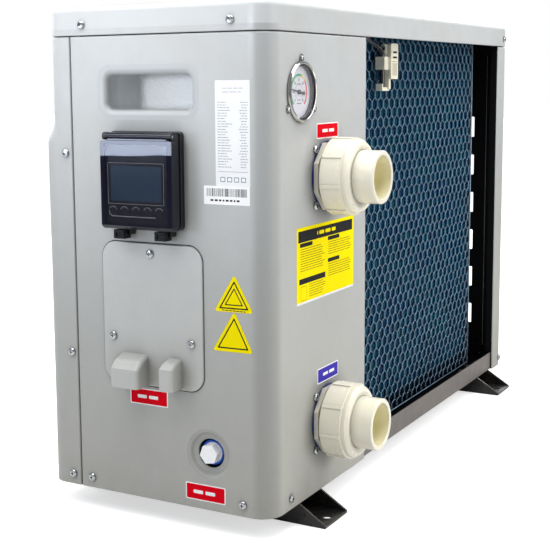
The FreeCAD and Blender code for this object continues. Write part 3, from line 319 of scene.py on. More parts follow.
for zc in (0.109, 0.399):
    dz = k.math("SUBTRACT", Z, zc)
    d = k.math("SQRT", k.math("ADD", k.math("MULTIPLY", dx, dx), k.math("MULTIPLY", dz, dz)))
    t = k.maprange(d, 0.0252, 0.0258, 1.0, 0.0)
    inb = t if inb is None else k.math("MAXIMUM", inb, t)
inb = k.math("MULTIPLY", inb, k.maprange(Y, 0.2175, 0.2150, 0.0, 1.0))
src = k.b.inputs["Base Color"].links[0].from_socket
deep = k.mixcol(k.maprange(Y, 0.19, 0.217, 0.0, 1.0), lin(255, 246, 196), lin(252, 246, 212))
k.link(k.mixcol(inb, src, deep), k.b.inputs["Base Color"])
k.shade(0.010, 0.56, 1.3)
MAT["ivory"] = k.m
add("bore_ivory", (226, 213, 164), rough=0.36, var=0.05, vscale=60, bump=0.00003, bscale=500, sub=0.05)
add("blue_seal", (14, 44, 116), rough=0.40, var=0.08, vscale=160, bump=0.00002, bscale=1500)
add("ring_blue", (16, 96, 214), rough=0.30, var=0.06, vscale=160, bump=0.00001, bscale=1500)
add("white_plug", (252, 252, 252), rough=0.32, var=0.02, vscale=120, bump=0.00001, bscale=1500, sub=0.05)
add("shell_grey", (92, 95, 99), rough=0.45, var=0.1, vscale=30, bump=0.00004, bscale=500)
add("compressor_black", (20, 20, 22), rough=0.34, var=0.15, vscale=30, bump=0.00005, bscale=500, scuff=0.2)
add("black_rubber", (18, 18, 18), rough=0.72, var=0.15, vscale=80, bump=0.00006, bscale=900)
add("valve_brass", (196, 160, 92), rough=0.28, metal=1.0, var=0.12, vscale=80, bump=0.00002, bscale=900)
add("copper", (196, 118, 82), rough=0.27, metal=1.0, var=0.20, vscale=60, rvar=0.12, bump=0.00002, bscale=700)
k = Mat("fin_blue")
c = k.mixcol(k.maprange(k.noise(26.0, 5.0, 0.65), 0.38, 0.64, 0, 1), lin(8, 98, 150), lin(24, 136, 158))
c = k.mixcol(k.maprange(k.noise(90.0, 4.0, 0.6), 0.40, 0.68, 0, 0.75), c, lin(12, 66, 112))
c = k.mixcol(k.maprange(k.noise(420.0, 2.0, 0.5), 0.45, 0.75, 0, 0.5), c, lin(96, 150, 178))
# lowest fins painted black, painted shade where the coil looks dark; the CAD fins carry on below this
c = k.mixcol(k.maprange(k.xyz()[2], 0.049, 0.064, 0.94, 0.0), c, lin(3, 6, 10))
k.link(c, k.b.inputs["Base Color"])
k.link(k.maprange(k.noise(150.0, 3.0, 0.5), 0.3, 0.7, 0.28, 0.50), k.b.inputs["Roughness"])
k.b.inputs["Metallic"].default_value = 0.25
k.link(k.bump(k.noise(600.0, 2.0, 0.5, stretch=(0.2, 0.2, 1.0)), 0.00005, 0.6), k.b.inputs["Normal"])
MAT["fin_blue"] = k.m
add("net_grey", (150, 182, 208), rough=0.22, metal=0.35, var=0.34, vscale=150, bump=0.00003, bscale=1600)
add("net_dark", (5, 24, 44), rough=0.75, var=0.2, vscale=150, bump=0.00002, bscale=1600, spec=0.12)
add("fan_black", (18, 18, 20), rough=0.40, var=0.15, vscale=25, bump=0.00004, bscale=800)
add("motor_grey", (118, 120, 122), rough=0.46, metal=0.3, var=0.10, vscale=40, bump=0.00005, bscale=700)
add("cream", (232, 228, 208), rough=0.42, var=0.06, vscale=120, bump=0.00003, bscale=1200, sub=0.05)
add("slot_brown", (150, 132, 104), rough=0.5, var=0.08, vscale=120, bump=0.00002, bscale=1200)
add("terminal_cream", (208, 198, 170), rough=0.45, var=0.06, vscale=120, bump=0.00003, bscale=1200)
add("guard_black", (20, 20, 21), rough=0.38, var=0.15, vscale=60, bump=0.00003, bscale=900, coat=0.1)
add("dark_interior", (7, 7, 8), rough=0.6, var=0.2, vscale=40, bump=0.00004, bscale=700)

# screen: slate liquid crystal panel behind glass
k = surf("screen", (64, 98, 126), rough=0.16, var=0.08, vscale=28, rvar=0.03, bump=0.0000003, bscale=3000, coat=0.3)
MAT["screen"] = k.m


def clear(name, tint, rough, dark):
    """Clear or smoked cover: straight-through tint with a gloss reflection that grows at grazing angles."""
    k = Mat(name)
    k.b.inputs["Base Color"].default_value = (*dark, 1)
    k.link(k.maprange(k.noise(60.0, 4.0, 0.6), 0.3, 0.7, rough * 0.6, rough * 1.8), k.b.inputs["Roughness"])
    k.b.inputs["Specular IOR Level"].default_value = 0.5
    k.link(k.bump(k.noise(24.0, 2.0, 0.5), 0.00004, 0.6), k.b.inputs["Normal"])
    k.b.inputs["Alpha"].default_value = tint
    k.b.inputs["Coat Weight"].default_value = 0.6
    k.b.inputs["Coat Roughness"].default_value = rough
    k.b.inputs["Coat IOR"].default_value = 1.5
    MAT[name] = k.m
    return k


k = clear("smoked_lid", 0.34, 0.012, lin(8, 8, 30))
X, Y, Z = k.xyz()
# the window is clear over the keypad; its moulded rim is nearly opaque
la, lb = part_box("controller_fascia")
rim = k.math("MAXIMUM", k.math("SUBTRACT", la.y + 0.0005, Y), k.math("SUBTRACT", Y, lb.y - 0.0005))
rim = k.math("MAXIMUM", rim, k.math("MAXIMUM", k.math("SUBTRACT", la.z - 0.001, Z), k.math("SUBTRACT", Z, lb.z + 0.001)))
k.link(k.maprange(rim, 0.0, 0.0012, 0.36, 0.94), k.b.inputs["Alpha"])
k.link(k.maprange(rim, 0.0, 0.0012, 0.64, 0.28), k.b.inputs["Coat Weight"])
k.link(k.maprange(rim, 0.0, 0.0012, 0.5, 0.28), k.b.inputs["Specular IOR Level"])
k.b.inputs["Coat IOR"].default_value = 1.75
k.m.node_tree.links.remove(k.b.inputs["Normal"].links[0])
wav = k.noise(16.0, 1.0, 0.3, stretch=(1.0, 1.0, 2.2))
k.link(k.bump(wav, 0.00010, 0.8), k.b.inputs["Normal"])
k.link(k.bump(wav, 0.00010, 0.8), k.b.inputs["Coat Normal"])
clear("clear_lens", 0.10, 0.03, lin(225, 228, 235))
for nm, rgb, rg in (("label_white", (236, 237, 238), 0.34), ("label_red", (222, 0, 24), 0.30), ("label_violet", (66, 56, 176), 0.30),
                    ("label_yellow", (252, 232, 0), 0.42), ("print_grey", (150, 152, 156), 0.4), ("print_black", (26, 26, 28), 0.4),
                    ("print_white", (246, 246, 246), 0.34), ("dial_green", (36, 168, 96), 0.36), ("dial_yellow", (232, 214, 70), 0.36),
                    ("dial_red", (226, 32, 44), 0.36), ("print_dim", (96, 102, 118), 0.35), ("print_olive", (150, 136, 4), 0.4), ("print_faint", (204, 206, 210), 0.4), ("relief_line", (252, 253, 255), 0.05)):
    add(nm, rgb, rough=rg + 0.2, var=0.02, vscale=70, rvar=0.05, bump=0.00001, bscale=1200, strength=0.4, spec=0.04 if nm in ("label_yellow", "label_red", "label_violet") else 0.15)

# handle recess: coated like the casing, hammered and shinier on its back wall; its inside is coloured far lighter than
# the casing, painted light in the recess
k = Mat("cup_grey")
X, Y, Z = k.xyz()
back = k.maprange(k.math("ABSOLUTE", X), 0.3545, 0.3625, 1.0, 0.0)
col = k.mixcol(k.maprange(k.noise(30.0, 4.0, 0.6), 0.35, 0.65, 0, 1), lin(240, 242, 242), lin(230, 232, 232))
col = k.mixcol(back, col, lin(240, 243, 247))
col = k.mixcol(k.maprange(k.math("ABSOLUTE", X), 0.396, 0.413, 0.0, 1.0), col, lin(177, 180, 181))
# upper part of the recess darkened: shading painted into the colour
ca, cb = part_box("handle_cup_right")
roof = k.math("MULTIPLY", k.maprange(Z, ca.z + 0.012, cb.z - 0.012, 0.0, 0.34), k.maprange(k.math("ABSOLUTE", X), 0.402, 0.412, 1.0, 0.0))
roof = k.math("MULTIPLY", roof, k.maprange(back, 0.0, 1.0, 1.0, 0.45))
col = k.mixcol(roof, col, lin(70, 76, 78))
k.link(col, k.b.inputs["Base Color"])
k.link(k.math("SUBTRACT", k.maprange(k.noise(60.0, 3.0, 0.5), 0.3, 0.7, 0.36, 0.47), k.math("MULTIPLY", back, 0.12)), k.b.inputs["Roughness"])
ham = k.node("ShaderNodeTexVoronoi")
ham.inputs["Scale"].default_value = 330.0
k.link(k.co, ham.inputs["Vector"])
h = k.math("MULTIPLY", k.math("ADD", ham.outputs[0], k.noise(420.0, 3.0, 0.6)), back)
n1 = k.bump(k.noise(1500.0, 2.0, 0.6), 0.00005, 0.5)
k.link(k.bump(h, 0.0011, 0.9, n1), k.b.inputs["Normal"])
MAT["cup_grey"] = k.m

for name, o in N.items():
    for s in o.material_slots:
        key = s.material.name.split(".")[0] if s.material else ""
        if key in MAT:
            s.material = MAT[key]
        else:
            print("no material for", name, key)
k = surf("hinge_rod", (16, 16, 24), rough=0.25, var=0.1, vscale=200, bump=0.00001, bscale=1500)
Y = k.xyz()[1]
ha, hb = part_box("hinge_pin")
end = k.math("MAXIMUM", k.maprange(Y, ha.y + 0.0095, ha.y + 0.0085, 0.0, 1.0), k.maprange(Y, hb.y - 0.0095, hb.y - 0.0085, 0.0, 1.0))
src = k.b.inputs["Base Color"].links[0].from_socket
k.link(k.mixcol(end, src, lin(196, 198, 206)), k.b.inputs["Base Color"])
k.link(end, k.b.inputs["Metallic"])
for s in N["hinge_pin"].material_slots:
    s.material = k.m
k = surf("latch_black", (7, 7, 11), rough=0.30, var=0.1, vscale=120, bump=0.000004, bscale=1500, spec=0.22, coat=0.1)
for nm in ("latch_left", "latch_right"):
    if nm in N:
        for s in N[nm].material_slots:
            s.material = k.m
for s in N["wiring_cover"].material_slots:
    if s.material and s.material.name.startswith("casing"):
        s.material = MAT["cover_grey"]
for nm in ("handle_cup_left", "handle_cup_right"):
    for s in N[nm].material_slots:
        s.material = MAT["cup_grey"]


# ------------------------------------------------------------------ mesh helpers
def obj(name, verts, faces, mats, idx=None, smooth=False):
    me = bpy.data.meshes.new(name)
    me.from_pydata([tuple(v) for v in verts], [], [tuple(f) for f in faces])
    for m in (mats if isinstance(mats, (list, tuple)) else [mats]):
        me.materials.append(MAT[m])
    if idx is not None:
        me.polygons.foreach_set("material_index", idx)
    if smooth:
        me.polygons.foreach_set("use_smooth", [True] * len(me.polygons))
    me.update()
    o = bpy.data.objects.new(name, me)
    bpy.context.scene.collection.objects.link(o)
    return o


class Build:
    """Collects vertices and faces of one piece, in millimetres."""

    def __init__(self):
        self.v, self.f, self.i, self.n = [], [], [], 0

    def add(self, verts, faces, mi=0):
        b = self.n
        self.v.extend(verts)
        self.f.extend([tuple(b + j for j in f) for f in faces])
        self.i.extend([mi] * len(faces))
        self.n += len(verts)

    def box(self, x0, x1, y0, y1, z0, z1, mi=0):
        p = [(x, y, z) for z in (z0, z1) for y in (y0, y1) for x in (x0, x1)]
        self.add(p, [(0, 2, 3, 1), (4, 5, 7, 6), (0, 1, 5, 4), (2, 6, 7, 3), (0, 4, 6, 2), (1, 3, 7, 5)], mi)

    def tube(self, pts, r, n=8, mi=0, closed=False, caps=True):
        P = [Vector(p) for p in pts]
        m = len(P)
        prev = None
        rings = []
        for a in range(m):
            if closed:
                d = P[(a + 1) % m] - P[a - 1]
            else:
                d = P[min(a + 1, m - 1)] - P[max(a - 1, 0)]
            d.normalize()
            if prev is None:
                up = Vector((0, 0, 1)) if abs(d.z) < 0.9 else Vector((1, 0, 0))
                u = d.cross(up).normalized()
            else:
                u = (prev - d * prev.dot(d)).normalized()
            prev = u
            w = d.cross(u)
            rr = r[a] if isinstance(r, (list, tuple)) else r
            rings.append([tuple(P[a] + (u * math.cos(t) + w * math.sin(t)) * rr) for t in [2 * math.pi * j / n for j in range(n)]])
        vs = [p for ring in rings for p in ring]
        fs = []
        last = m if closed else m - 1
        for a in range(last):
            b = (a + 1) % m
            for j in range(n):
                fs.append((a * n + j, a * n + (j + 1) % n, b * n + (j + 1) % n, b * n + j))
        if not closed and caps:
            fs.append(tuple(reversed(range(n))))
            fs.append(tuple((m - 1) * n + j for j in range(n)))
        self.add(vs, fs, mi)

    def plate(self, plane, at, a0, a1, b0, b1, r, t, mi=0, seg=4, crown=0.0):
        """Rounded flat plate of thickness t standing off a face: plane 'x' has a=y, b=z, plane 'y' has a=x, b=z."""
        ring = []
        for cx, cz, s in ((a1 - r, b1 - r, 0), (a0 + r, b1 - r, 90), (a0 + r, b0 + r, 180), (a1 - r, b0 + r, 270)):
            for q in range(seg + 1):
                th = math.radians(s + 90.0 * q / seg)
                ring.append((cx + r * math.cos(th), cz + r * math.sin(th)))
        n = len(ring)
        def P(a, b, h):
            return (at + h, a, b) if plane == "x" else ((a, at + h, b) if plane == "y" else (a, b, at + h))
        vs = [P(a, b, 0) for a, b in ring] + [P(a, b, t) for a, b in ring]
        flip = plane == "y"
        fs = []
        top = tuple(n + j for j in range(n))
        bot = tuple(reversed(range(n)))
        for j in range(n):
            q = (j, (j + 1) % n, n + (j + 1) % n, n + j)
            fs.append(tuple(reversed(q)) if flip else q)
        fs.append(tuple(reversed(top)) if flip else top)
        fs.append(tuple(reversed(bot)) if flip else bot)
        self.add(vs, fs, mi)

    def lathe(self, prof, cx, cz, axis="y", seg=64, mi=0, cy=None):
        """Revolve (radius, along) points about a line; axis 'y' through (cx, cz), 'x' through (y=cx, z=cz)."""
        m = len(prof)
        vs = []
        for j in range(seg):
            t = 2 * math.pi * j / seg
            for r, h in prof:
                a, b = cx + r * math.cos(t), cz + r * math.sin(t)
                vs.append((a, h, b) if axis == "y" else (h, a, b))
        fs = []
        for j in range(seg):
            k2 = (j + 1) % seg
            for q in range(m - 1):
                f = (j * m + q, j * m + q + 1, k2 * m + q + 1, k2 * m + q)
                fs.append(f if axis == "y" else tuple(reversed(f)))
        self.add(vs, fs, mi)

    def make(self, name, mats, body="cabinet", slot=None, smooth=False, angle=None):
        o = obj(name, [(a * M, b * M, c * M) for a, b, c in self.v], self.f, mats, self.i, smooth)
        bm = bmesh.new()
        bm.from_mesh(o.data)
        bmesh.ops.recalc_face_normals(bm, faces=bm.faces)
        bm.to_mesh(o.data)
        bm.free()
        if angle:
            o.data.polygons.foreach_set("use_smooth", [True] * len(o.data.polygons))
            o.data.set_sharp_from_angle(angle=math.radians(angle))
        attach(o, body)
        return o


# ------------------------------------------------------------------ coil netting
gl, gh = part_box("coil_guard")
gx0, gx1, gy0, gy1, gz0, gz1 = (gl.x / M, gh.x / M, gl.y / M, gh.y / M, gl.z / M - 18.0, gh.z / M + 17.0)
net = Build()
CW, PITCH, VS = 19.6, 12.8, 7.0      # cell width, row pitch, straight side
ny = gy0 + 0.75
jit = {}


def knot(i, j):
    """Corner point of the netting: column i of half cells, half row j."""
    if (i, j) not in jit:
        jit[(i, j)] = (RNG.uniform(-0.45, 0.45), RNG.uniform(-0.3, 0.35), RNG.uniform(-0.45, 0.45))
    dx, dy, dz = jit[(i, j)]
    row, end = divmod(j, 2)
    x = gx0 + 2 + i * CW / 2 + dx
    z = gz0 + 3 + row * PITCH + (VS if end else 0.0) + dz
    return (min(max(x, gx0 + 0.6), gx1 - 0.6), ny + dy, min(max(z, gz0 + 0.6), gz1 - 0.6))


rows = int((gz1 - gz0 - 6) / PITCH)
cols = int((gx1 - gx0 - 4) / (CW / 2))
WR = 0.44
SX, SY, SZ = 1.3, 2.3, 1.3
for row in range(rows + 1):
    for i in range(cols + 1):
        if (i + row) % 2 == 0:
            a, b = Vector(knot(i, 2 * row)), Vector(knot(i, 2 * row + 1))
            mid = (a + b) / 2
            # dark second strand: a painted stand-in for the netting's shadow, not a real wire
            net.tube([(a.x + SX, a.y - SY, a.z - SZ), (b.x + SX, b.y - SY, b.z - SZ)], 0.70, 4, 1)
            # two wires twisted together
            for ph in (0.0, math.pi):
                pts = []
                for q in range(7):
                    t = q / 6.0
                    w = ph + t * 2.0 * math.pi
                    p = a.lerp(b, t)
                    s = 0.55 * math.sin(math.pi * t) ** 0.5 if 0 < t < 1 else 0.12
                    pts.append((p.x + s * math.cos(w), p.y + s * math.sin(w), p.z))
                net.tube(pts, WR * 0.86, 5, caps=True)
            if row < rows:
                for di in (-1, 1):
                    if 0 <= i + di <= cols:
                        c = Vector(knot(i + di, 2 * (row + 1)))
                        m2 = b.lerp(c, 0.5)
                        # dark second strand beside the diagonal wire: painted shadow, not a real wire
                        net.tube([(b.x + SX, b.y - SY, b.z - SZ), (c.x + SX, c.y - SY, c.z - SZ)], 0.70, 4, 1)
                        net.tube([tuple(b), (m2.x, m2.y + 0.12, m2.z), tuple(c)], WR, 5, caps=True)
for z in (gz0 + 0.9, gz1 - 0.9):
    net.tube([(gx0 + 0.9, ny, z), ((gx0 + gx1) / 2, ny + 0.2, z), (gx1 - 0.9, ny, z)], 0.85, 6)
for x in (gx0 + 0.9, gx1 - 0.9):
    net.tube([(x, ny, gz0 + 0.9), (x, ny, (gz0 + gz1) / 2), (x, ny, gz1 - 0.9)], 0.85, 6)
o = net.make("coil_netting", ["net_grey", "net_dark"], "cabinet", "net_grey", smooth=True)
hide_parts("coil_guard")

# ------------------------------------------------------------------ finned coil
gl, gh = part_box("evaporator_fins")
fx0, fx1, fy0, fy1, fz0, fz1 = (gl.x / M, gh.x / M, gl.y / M, gh.y / M, gl.z / M, gh.z / M + 18.0)
fins = Build()
x = fx0 + 0.2
while x < fx1 - 0.3:
    t = 0.34
    wob = [RNG.uniform(-0.16, 0.16) for _ in range(12)]
    zs = np.linspace(fz0 + 0.2, fz1 - 0.2, 12)
    vs, fs = [], []
    for q, z in enumerate(zs):
        w = wob[q]
        ye = fy1 - 0.15 + RNG.uniform(-0.12, 0.12)
        vs += [(x, fy0 + 0.2, z), (x + t, fy0 + 0.2, z), (x + t + w, ye, z), (x + w, ye, z)]
    for q in range(11):
        a, b = 4 * q, 4 * q + 4
        fs += [(a, a + 1, b + 1, b), (a + 1, a + 2, b + 2, b + 1), (a + 2, a + 3, b + 3, b + 2), (a + 3, a, b, b + 3)]
    fs += [(3, 2, 1, 0), (44, 45, 46, 47)]
    fins.add(vs, fs)
    x += 2.05
# expanded tube stack through the fins
for zc in np.arange(fz0 + 14, fz1 - 8, 25.4):
    for n2, yc in enumerate((fy0 + 9.5, fy1 - 9.5)):
        fins.tube([(fx0 + 0.5, yc, zc + (12.7 if n2 else 0.0)), (fx1 - 0.5, yc, zc + (12.7 if n2 else 0.0))], 4.6, 8, 1)
o = fins.make("coil_fins", ["fin_blue", "copper"], "cabinet", "fin_blue")
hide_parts("evaporator_fins")

# ------------------------------------------------------------------ swept fan
bl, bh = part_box("fan_blades")
FX, FZ = (bl.x + bh.x) / 2 / M, (bl.z + bh.z) / 2 / M
FX, FZ = -118.0, 234.0
FY0, FY1 = bl.y / M, bh.y / M
FR = min((bh.x - bl.x), (bh.z - bl.z)) / 2 / M
FR = 177.4
fan = Build()
fan.lathe([(6.05, FY0 + 3.0), (16.0, FY0 + 0.1), (30.0, FY0 + 0.3), (38.0, FY0 + 3.0), (42.5, FY0 + 8.0), (44.0, FY0 + 14.0), (44.0, FY1 - 0.1),
           (38.4, FY1 - 0.1), (38.0, FY0 + 14.0), (16.0, FY0 + 14.0), (16.0, FY1 - 0.1), (6.05, FY1 - 0.1), (6.05, FY0 + 3.0)], FX, FZ, "y", 72, 0)
for q in range(12):
    t = math.radians(30 * q)
    c, d = math.cos(t), math.sin(t)
    p = [(FX + 26 * c, FY0 + 0.9, FZ + 26 * d), (FX + 36 * c, FY0 + 2.4, FZ + 36 * d)]
    fan.tube(p, 0.9, 6)
NU, NV = 15, 17
for blade in range(3):
    th0 = math.radians(90 + 120 * blade)
    tops, bots = [], []
    for iu in range(NU):
        u = iu / (NU - 1)
        r = 43.2 + (FR - 43.2) * u
        span = math.radians(58.0 + 14.0 * math.sin(math.pi * min(1.0, u * 0.9)) - 6.0 * u)
        sweep = math.radians(-9.0 + 34.0 * u ** 1.6)
        depth = 46.0 - 12.0 * u
        for iv in range(NV):
            v = iv / (NV - 1)
            # rounded outer corners
            rr = r
            if u > 0.8:
                edge = min(v, 1 - v) / 0.16
                if edge < 1:
                    rr = r - (u - 0.8) / 0.2 * 15.0 * (1 - edge) ** 2
            t = th0 + sweep + (v - 0.5) * span
            y = -105.5 + (v - 0.5) * depth - 5.5 * (1 - (2 * v - 1) ** 2) * (1 - 0.3 * u)
            th = 1.5 - 0.6 * u
            th *= 0.35 + 0.65 * min(1.0, min(v, 1 - v) / 0.12)
            tops.append((FX + rr * math.cos(t), y - th, FZ + rr * math.sin(t)))
            bots.append((FX + rr * math.cos(t), y + th, FZ + rr * math.sin(t)))
    n = NU * NV
    fs = []
    for a in range(NU - 1):
        for c in range(NV - 1):
            i0 = a * NV + c
            fs.append((i0, i0 + 1, i0 + NV + 1, i0 + NV))
            fs.append((n + i0, n + i0 + NV, n + i0 + NV + 1, n + i0 + 1))
    for a in range(NU - 1):
        for c in (0, NV - 1):
            i0, i1 = a * NV + c, (a + 1) * NV + c
            fs.append((i0, i1, n + i1, n + i0))
    for c in range(NV - 1):
        for a in (0, NU - 1):
            i0, i1 = a * NV + c, a * NV + c + 1
            fs.append((i0, i1, n + i1, n + i0))
    fan.add(tops + bots, fs)
    # stiffening rib beside the hub
    pts = []
    for q in range(9):
        v = 0.1 + 0.8 * q / 8
        t = th0 + math.radians(-9.0) + (v - 0.5) * math.radians(58.0)
        y = -105.5 + (v - 0.5) * 46.0 - 5.5 * (1 - (2 * v - 1) ** 2) - 1.6
        pts.append((FX + 46 * math.cos(t), y, FZ + 46 * math.sin(t)))
    fan.tube(pts, 1.5, 6)
o = fan.make("fan_wheel", ["fan_black"], "fan", "fan_black", smooth=True, angle=38)
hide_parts("fan_blades")

# ------------------------------------------------------------------ labels
XP, YP = 422.5, 148.0
T = 0.14


def bars(b, plane, at, a0, a1, zs, h, mi, ragged=0.35, indent=0.0, gapw=None):
    """Rows of short bars that stand for lines of print."""
    for z in zs:
        L = (a1 - a0) * (1 - RNG.uniform(0, ragged))
        if gapw:
            a = a0 + indent
            while a < a0 + L - 1:
                w = RNG.uniform(*gapw)
                e = min(a + w, a0 + L)
                b.plate(plane, at, a, e, z, z + h, min(h, e - a) * 0.25, 0.04, mi, 2)
                a = e + h * 0.8
        else:
            b.plate(plane, at, a0 + indent, a0 + L, z, z + h, h * 0.25, 0.04, mi, 2)


def frame_line(b, plane, at, a0, a1, z0, z1, w, h, mi):
    b.plate(plane, at, a0, a1, z0, z0 + w, w * 0.3, h, mi, 2)
    b.plate(plane, at, a0, a1, z1 - w, z1, w * 0.3, h, mi, 2)
    b.plate(plane, at, a0, a0 + w, z0 + w, z1 - w, w * 0.3, h, mi, 2)
    b.plate(plane, at, a1 - w, a1, z0 + w, z1 - w, w * 0.3, h, mi, 2)


def framed(name, plane, at, a0, a1, z0, z1, fill, slot="casing"):
    b = Build()
    b.plate(plane, at, a0, a1, z0, z1, 1.6, T, 0, 5)
    b.plate(plane, at + T, a0 + 1.4, a1 - 1.4, z0 + 1.3, z1 - 1.3, 1.0, 0.04, 1, 4)
    w = a1 - a0
    h = z1 - z0
    zc = (z0 + z1) / 2
    # a blank centred bar in place of wording
    a = a0 + w * 0.20
    while a < a1 - w * 0.20:
        e = min(a + w * 0.24, a1 - w * 0.20)
        b.plate(plane, at + T + 0.04, a, e, zc - h * 0.10, zc + h * 0.10, h * 0.05, 0.03, 0, 2)
        a = e + w * 0.06
    return b.make(name, ["print_white", fill], "cabinet", slot)


framed("label_power", "x", XP, -38.5, 13.8, 137.6, 157.0, "label_red")
framed("label_drain", "x", XP, 36.0, 89.0, 34.5, 54.5, "label_red")
framed("label_outlet", "y", YP, 251.5, 309.5, 442.5, 460.5, "label_red")
framed("label_inlet", "y", YP, 250.5, 307.5, 154.5, 172.8, "label_violet")

b = Build()
b.plate("x", XP, 81.2, 124.3, 396.0, 510.0, 1.0, T, 0, 3)
rows_z = list(np.arange(486.0, 414.0, -2.9))
for z in rows_z:
    bars(b, "x", XP + T, 84.0, 102.0, [z], 0.75, 1, 0.5, 0, (2.0, 6.0))
    bars(b, "x", XP + T, 110.0 + RNG.uniform(0, 4), 122.0, [z], 0.75, 1, 0.2, 0, (2.0, 4.0))
for z in (500.5, 496.6):
    bars(b, "x", XP + T, 90.0, 116.0, [z], 1.6, 3, 0.1, 0, (5.0, 9.0))
b.plate("x", XP + T, 84.5, 121.5, 411.4, 411.9, 0.1, 0.04, 1, 1)
for q in range(4):
    frame_line(b, "x", XP + T, 87.0 + 8.6 * q, 93.0 + 8.6 * q, 400.5, 405.8, 0.7, 0.04, 2)
b.make("label_rating", ["label_white", "print_grey", "print_dim", "print_faint"], "cabinet", "casing")

b = Build()
b.plate("x", XP, 65.7, 123.6, 375.5, 396.0, 0.8, T, 0, 3)
a = 69.5
while a < 119.5:
    w = float(RNG.choice((0.35, 0.35, 0.7, 1.05)))
    b.plate("x", XP + T, a, a + w, 384.5, 393.2, 0.05, 0.04, 1, 1)
    a += w + float(RNG.choice((0.4, 0.7, 1.0)))
bars(b, "x", XP + T, 74.0, 114.0, [379.2], 2.0, 1, 0.05, 0, (2.0, 4.0))
b.make("label_code", ["print_white", "print_black"], "cabinet", "casing")

# two blank yellow three-cornered stickers, and a yellow sheet with header bars


def tri(b, at, pts, inset, h, mi, rr=2.0, hole=None):
    """Three-cornered plate on the control side with rounded corners; hole cuts out a smaller one."""
    P = [Vector((p[0], p[1])) for p in pts]
    c = sum(P, Vector((0, 0))) / 3
    area2 = abs((P[1] - P[0]).cross(P[2] - P[0]))
    per = sum((P[i] - P[(i + 1) % 3]).length for i in range(3))
    inr = area2 / per
    # incentre
    la, lb, lc = (P[1] - P[2]).length, (P[0] - P[2]).length, (P[0] - P[1]).length
    ic = (P[0] * la + P[1] * lb + P[2] * lc) / (la + lb + lc)

    def ring(ins, r):
        q = [ic + (p - ic) * ((inr - ins - r) / inr) for p in P]
        out = []
        for i in range(3):
            a, m, e = q[i - 1], q[i], q[(i + 1) % 3]
            d1, d2 = (m - a).normalized(), (e - m).normalized()
            n1, n2 = Vector((d1.y, -d1.x)), Vector((d2.y, -d2.x))
            if (m - ic).dot(n1) < 0:
                n1, n2 = -n1, -n2
            t1, t2 = math.atan2(n1.y, n1.x), math.atan2(n2.y, n2.x)
            dt = (t2 - t1 + math.pi) % (2 * math.pi) - math.pi
            for k2 in range(6):
                t = t1 + dt * k2 / 5
                out.append((m.x + r * math.cos(t), m.y + r * math.sin(t)))
        return out
    o1 = ring(inset, rr)
    n = len(o1)
    if hole is None:
        vs = [(at, y, z) for y, z in o1] + [(at + h, y, z) for y, z in o1]
        fs = [(j, (j + 1) % n, n + (j + 1) % n, n + j) for j in range(n)] + [tuple(n + j for j in range(n)), tuple(reversed(range(n)))]
        b.add(vs, fs, mi)
    else:
        o2 = ring(hole, rr * 0.7)
        vs = [(at, y, z) for y, z in o1] + [(at + h, y, z) for y, z in o1] + [(at, y, z) for y, z in o2] + [(at + h, y, z) for y, z in o2]
        fs = []
        for j in range(n):
            q = (j + 1) % n
            fs += [(j, q, n + q, n + j), (n + j, n + q, 3 * n + q, 3 * n + j), (2 * n + j, 3 * n + j, 3 * n + q, 2 * n + q), (j, 2 * n + j, 2 * n + q, q)]
        b.add(vs, fs, mi)


for nm, pts in (("label_notice_a", ((102.9, 299.2), (77.0, 257.0), (126.6, 257.8))), ("label_notice_b", ((102.6, 258.4), (74.4, 212.2), (126.0, 213.0)))):
    b = Build()
    tri(b, XP, pts, 0.0, T, 0, 2.2)
    tri(b, XP + T, pts, 3.4, 0.05, 1, 0.8, hole=4.9)
    cy, cz = sum(p[0] for p in pts) / 3, sum(p[1] for p in pts) / 3
    if nm.endswith("a"):
        bars(b, "x", XP + T, cy - 15, cy + 15, [pts[1][1] + 1.5], 1.0, 1, 0.02, 0, (2.5, 5.0))
        tri(b, XP + T, pts, 7.4, 0.05, 1, 0.6, hole=8.6)
    b.make(nm, ["label_yellow", "print_black"], "cabinet", "casing")

b = Build()
a0, a1, z0, z1 = 206.5, 360.5, 259.5, 345.0
b.plate("y", YP, a0, a1, z0, z1, 1.2, T, 0, 3)
b.plate("y", YP + T, a0 + 4, a1 - 4, z1 - 17.0, z1 - 4.0, 0.6, 0.04, 1, 2)
bars(b, "y", YP + T + 0.04, a0 + 52, a1 - 52, [z1 - 12.5], 4.2, 0, 0.02, 0, (8.0, 14.0))
for c0, c1, zt, short in ((a1 - 74, a1 - 8, z1 - 18.0, 1), (a1 - 74, a1 - 6, z1 - 58.5, 0),
                          (a0 + 5, a1 - 81, z1 - 18.0, 1), (a0 + 5, a1 - 81, z1 - 44.0, 1)):
    # a short header pill with a block of faint bars under it
    left = c1 - (32.0 if short else c1 - c0)
    b.plate("y", YP + T, left, c1, zt - (4.6 if short else 6.4), zt, 0.8, 0.04, 1, 3)
    if not short:
        frame_line(b, "y", YP + T, c1 - 19, c1 - 4, zt - 25.5, zt - 9.0, 0.5, 0.04, 2)
    n = 10 if zt == z1 - 18.0 and c1 == a1 - 8 else 6
    for q in range(n):
        w0 = c0
        bars(b, "y", YP + T, w0 + RNG.uniform(0.0, 12.0), c1 - 1 - (0 if short else 24), [zt - (7.4 if short else 9.2) - 2.75 * q], 0.85, 2, 0.0, 0, (9.0, 20.0))
b.plate("y", YP, a0 + 0.6, a1 - 0.4, z0 - 2.4, z0 - 0.1, 0.4, T * 0.5, 3, 2)
b.make("label_sheet", ["label_yellow", "print_black", "print_olive", "label_white"], "cabinet", "casing")

# light grey strip along the edge of the fold inside the far panel
b = Build()
b.box(-420.3, -418.9, 112.5, 113.4, 44.0, 560.0, 0)
b.make("inner_edge", ["print_grey"], "cabinet", "casing")

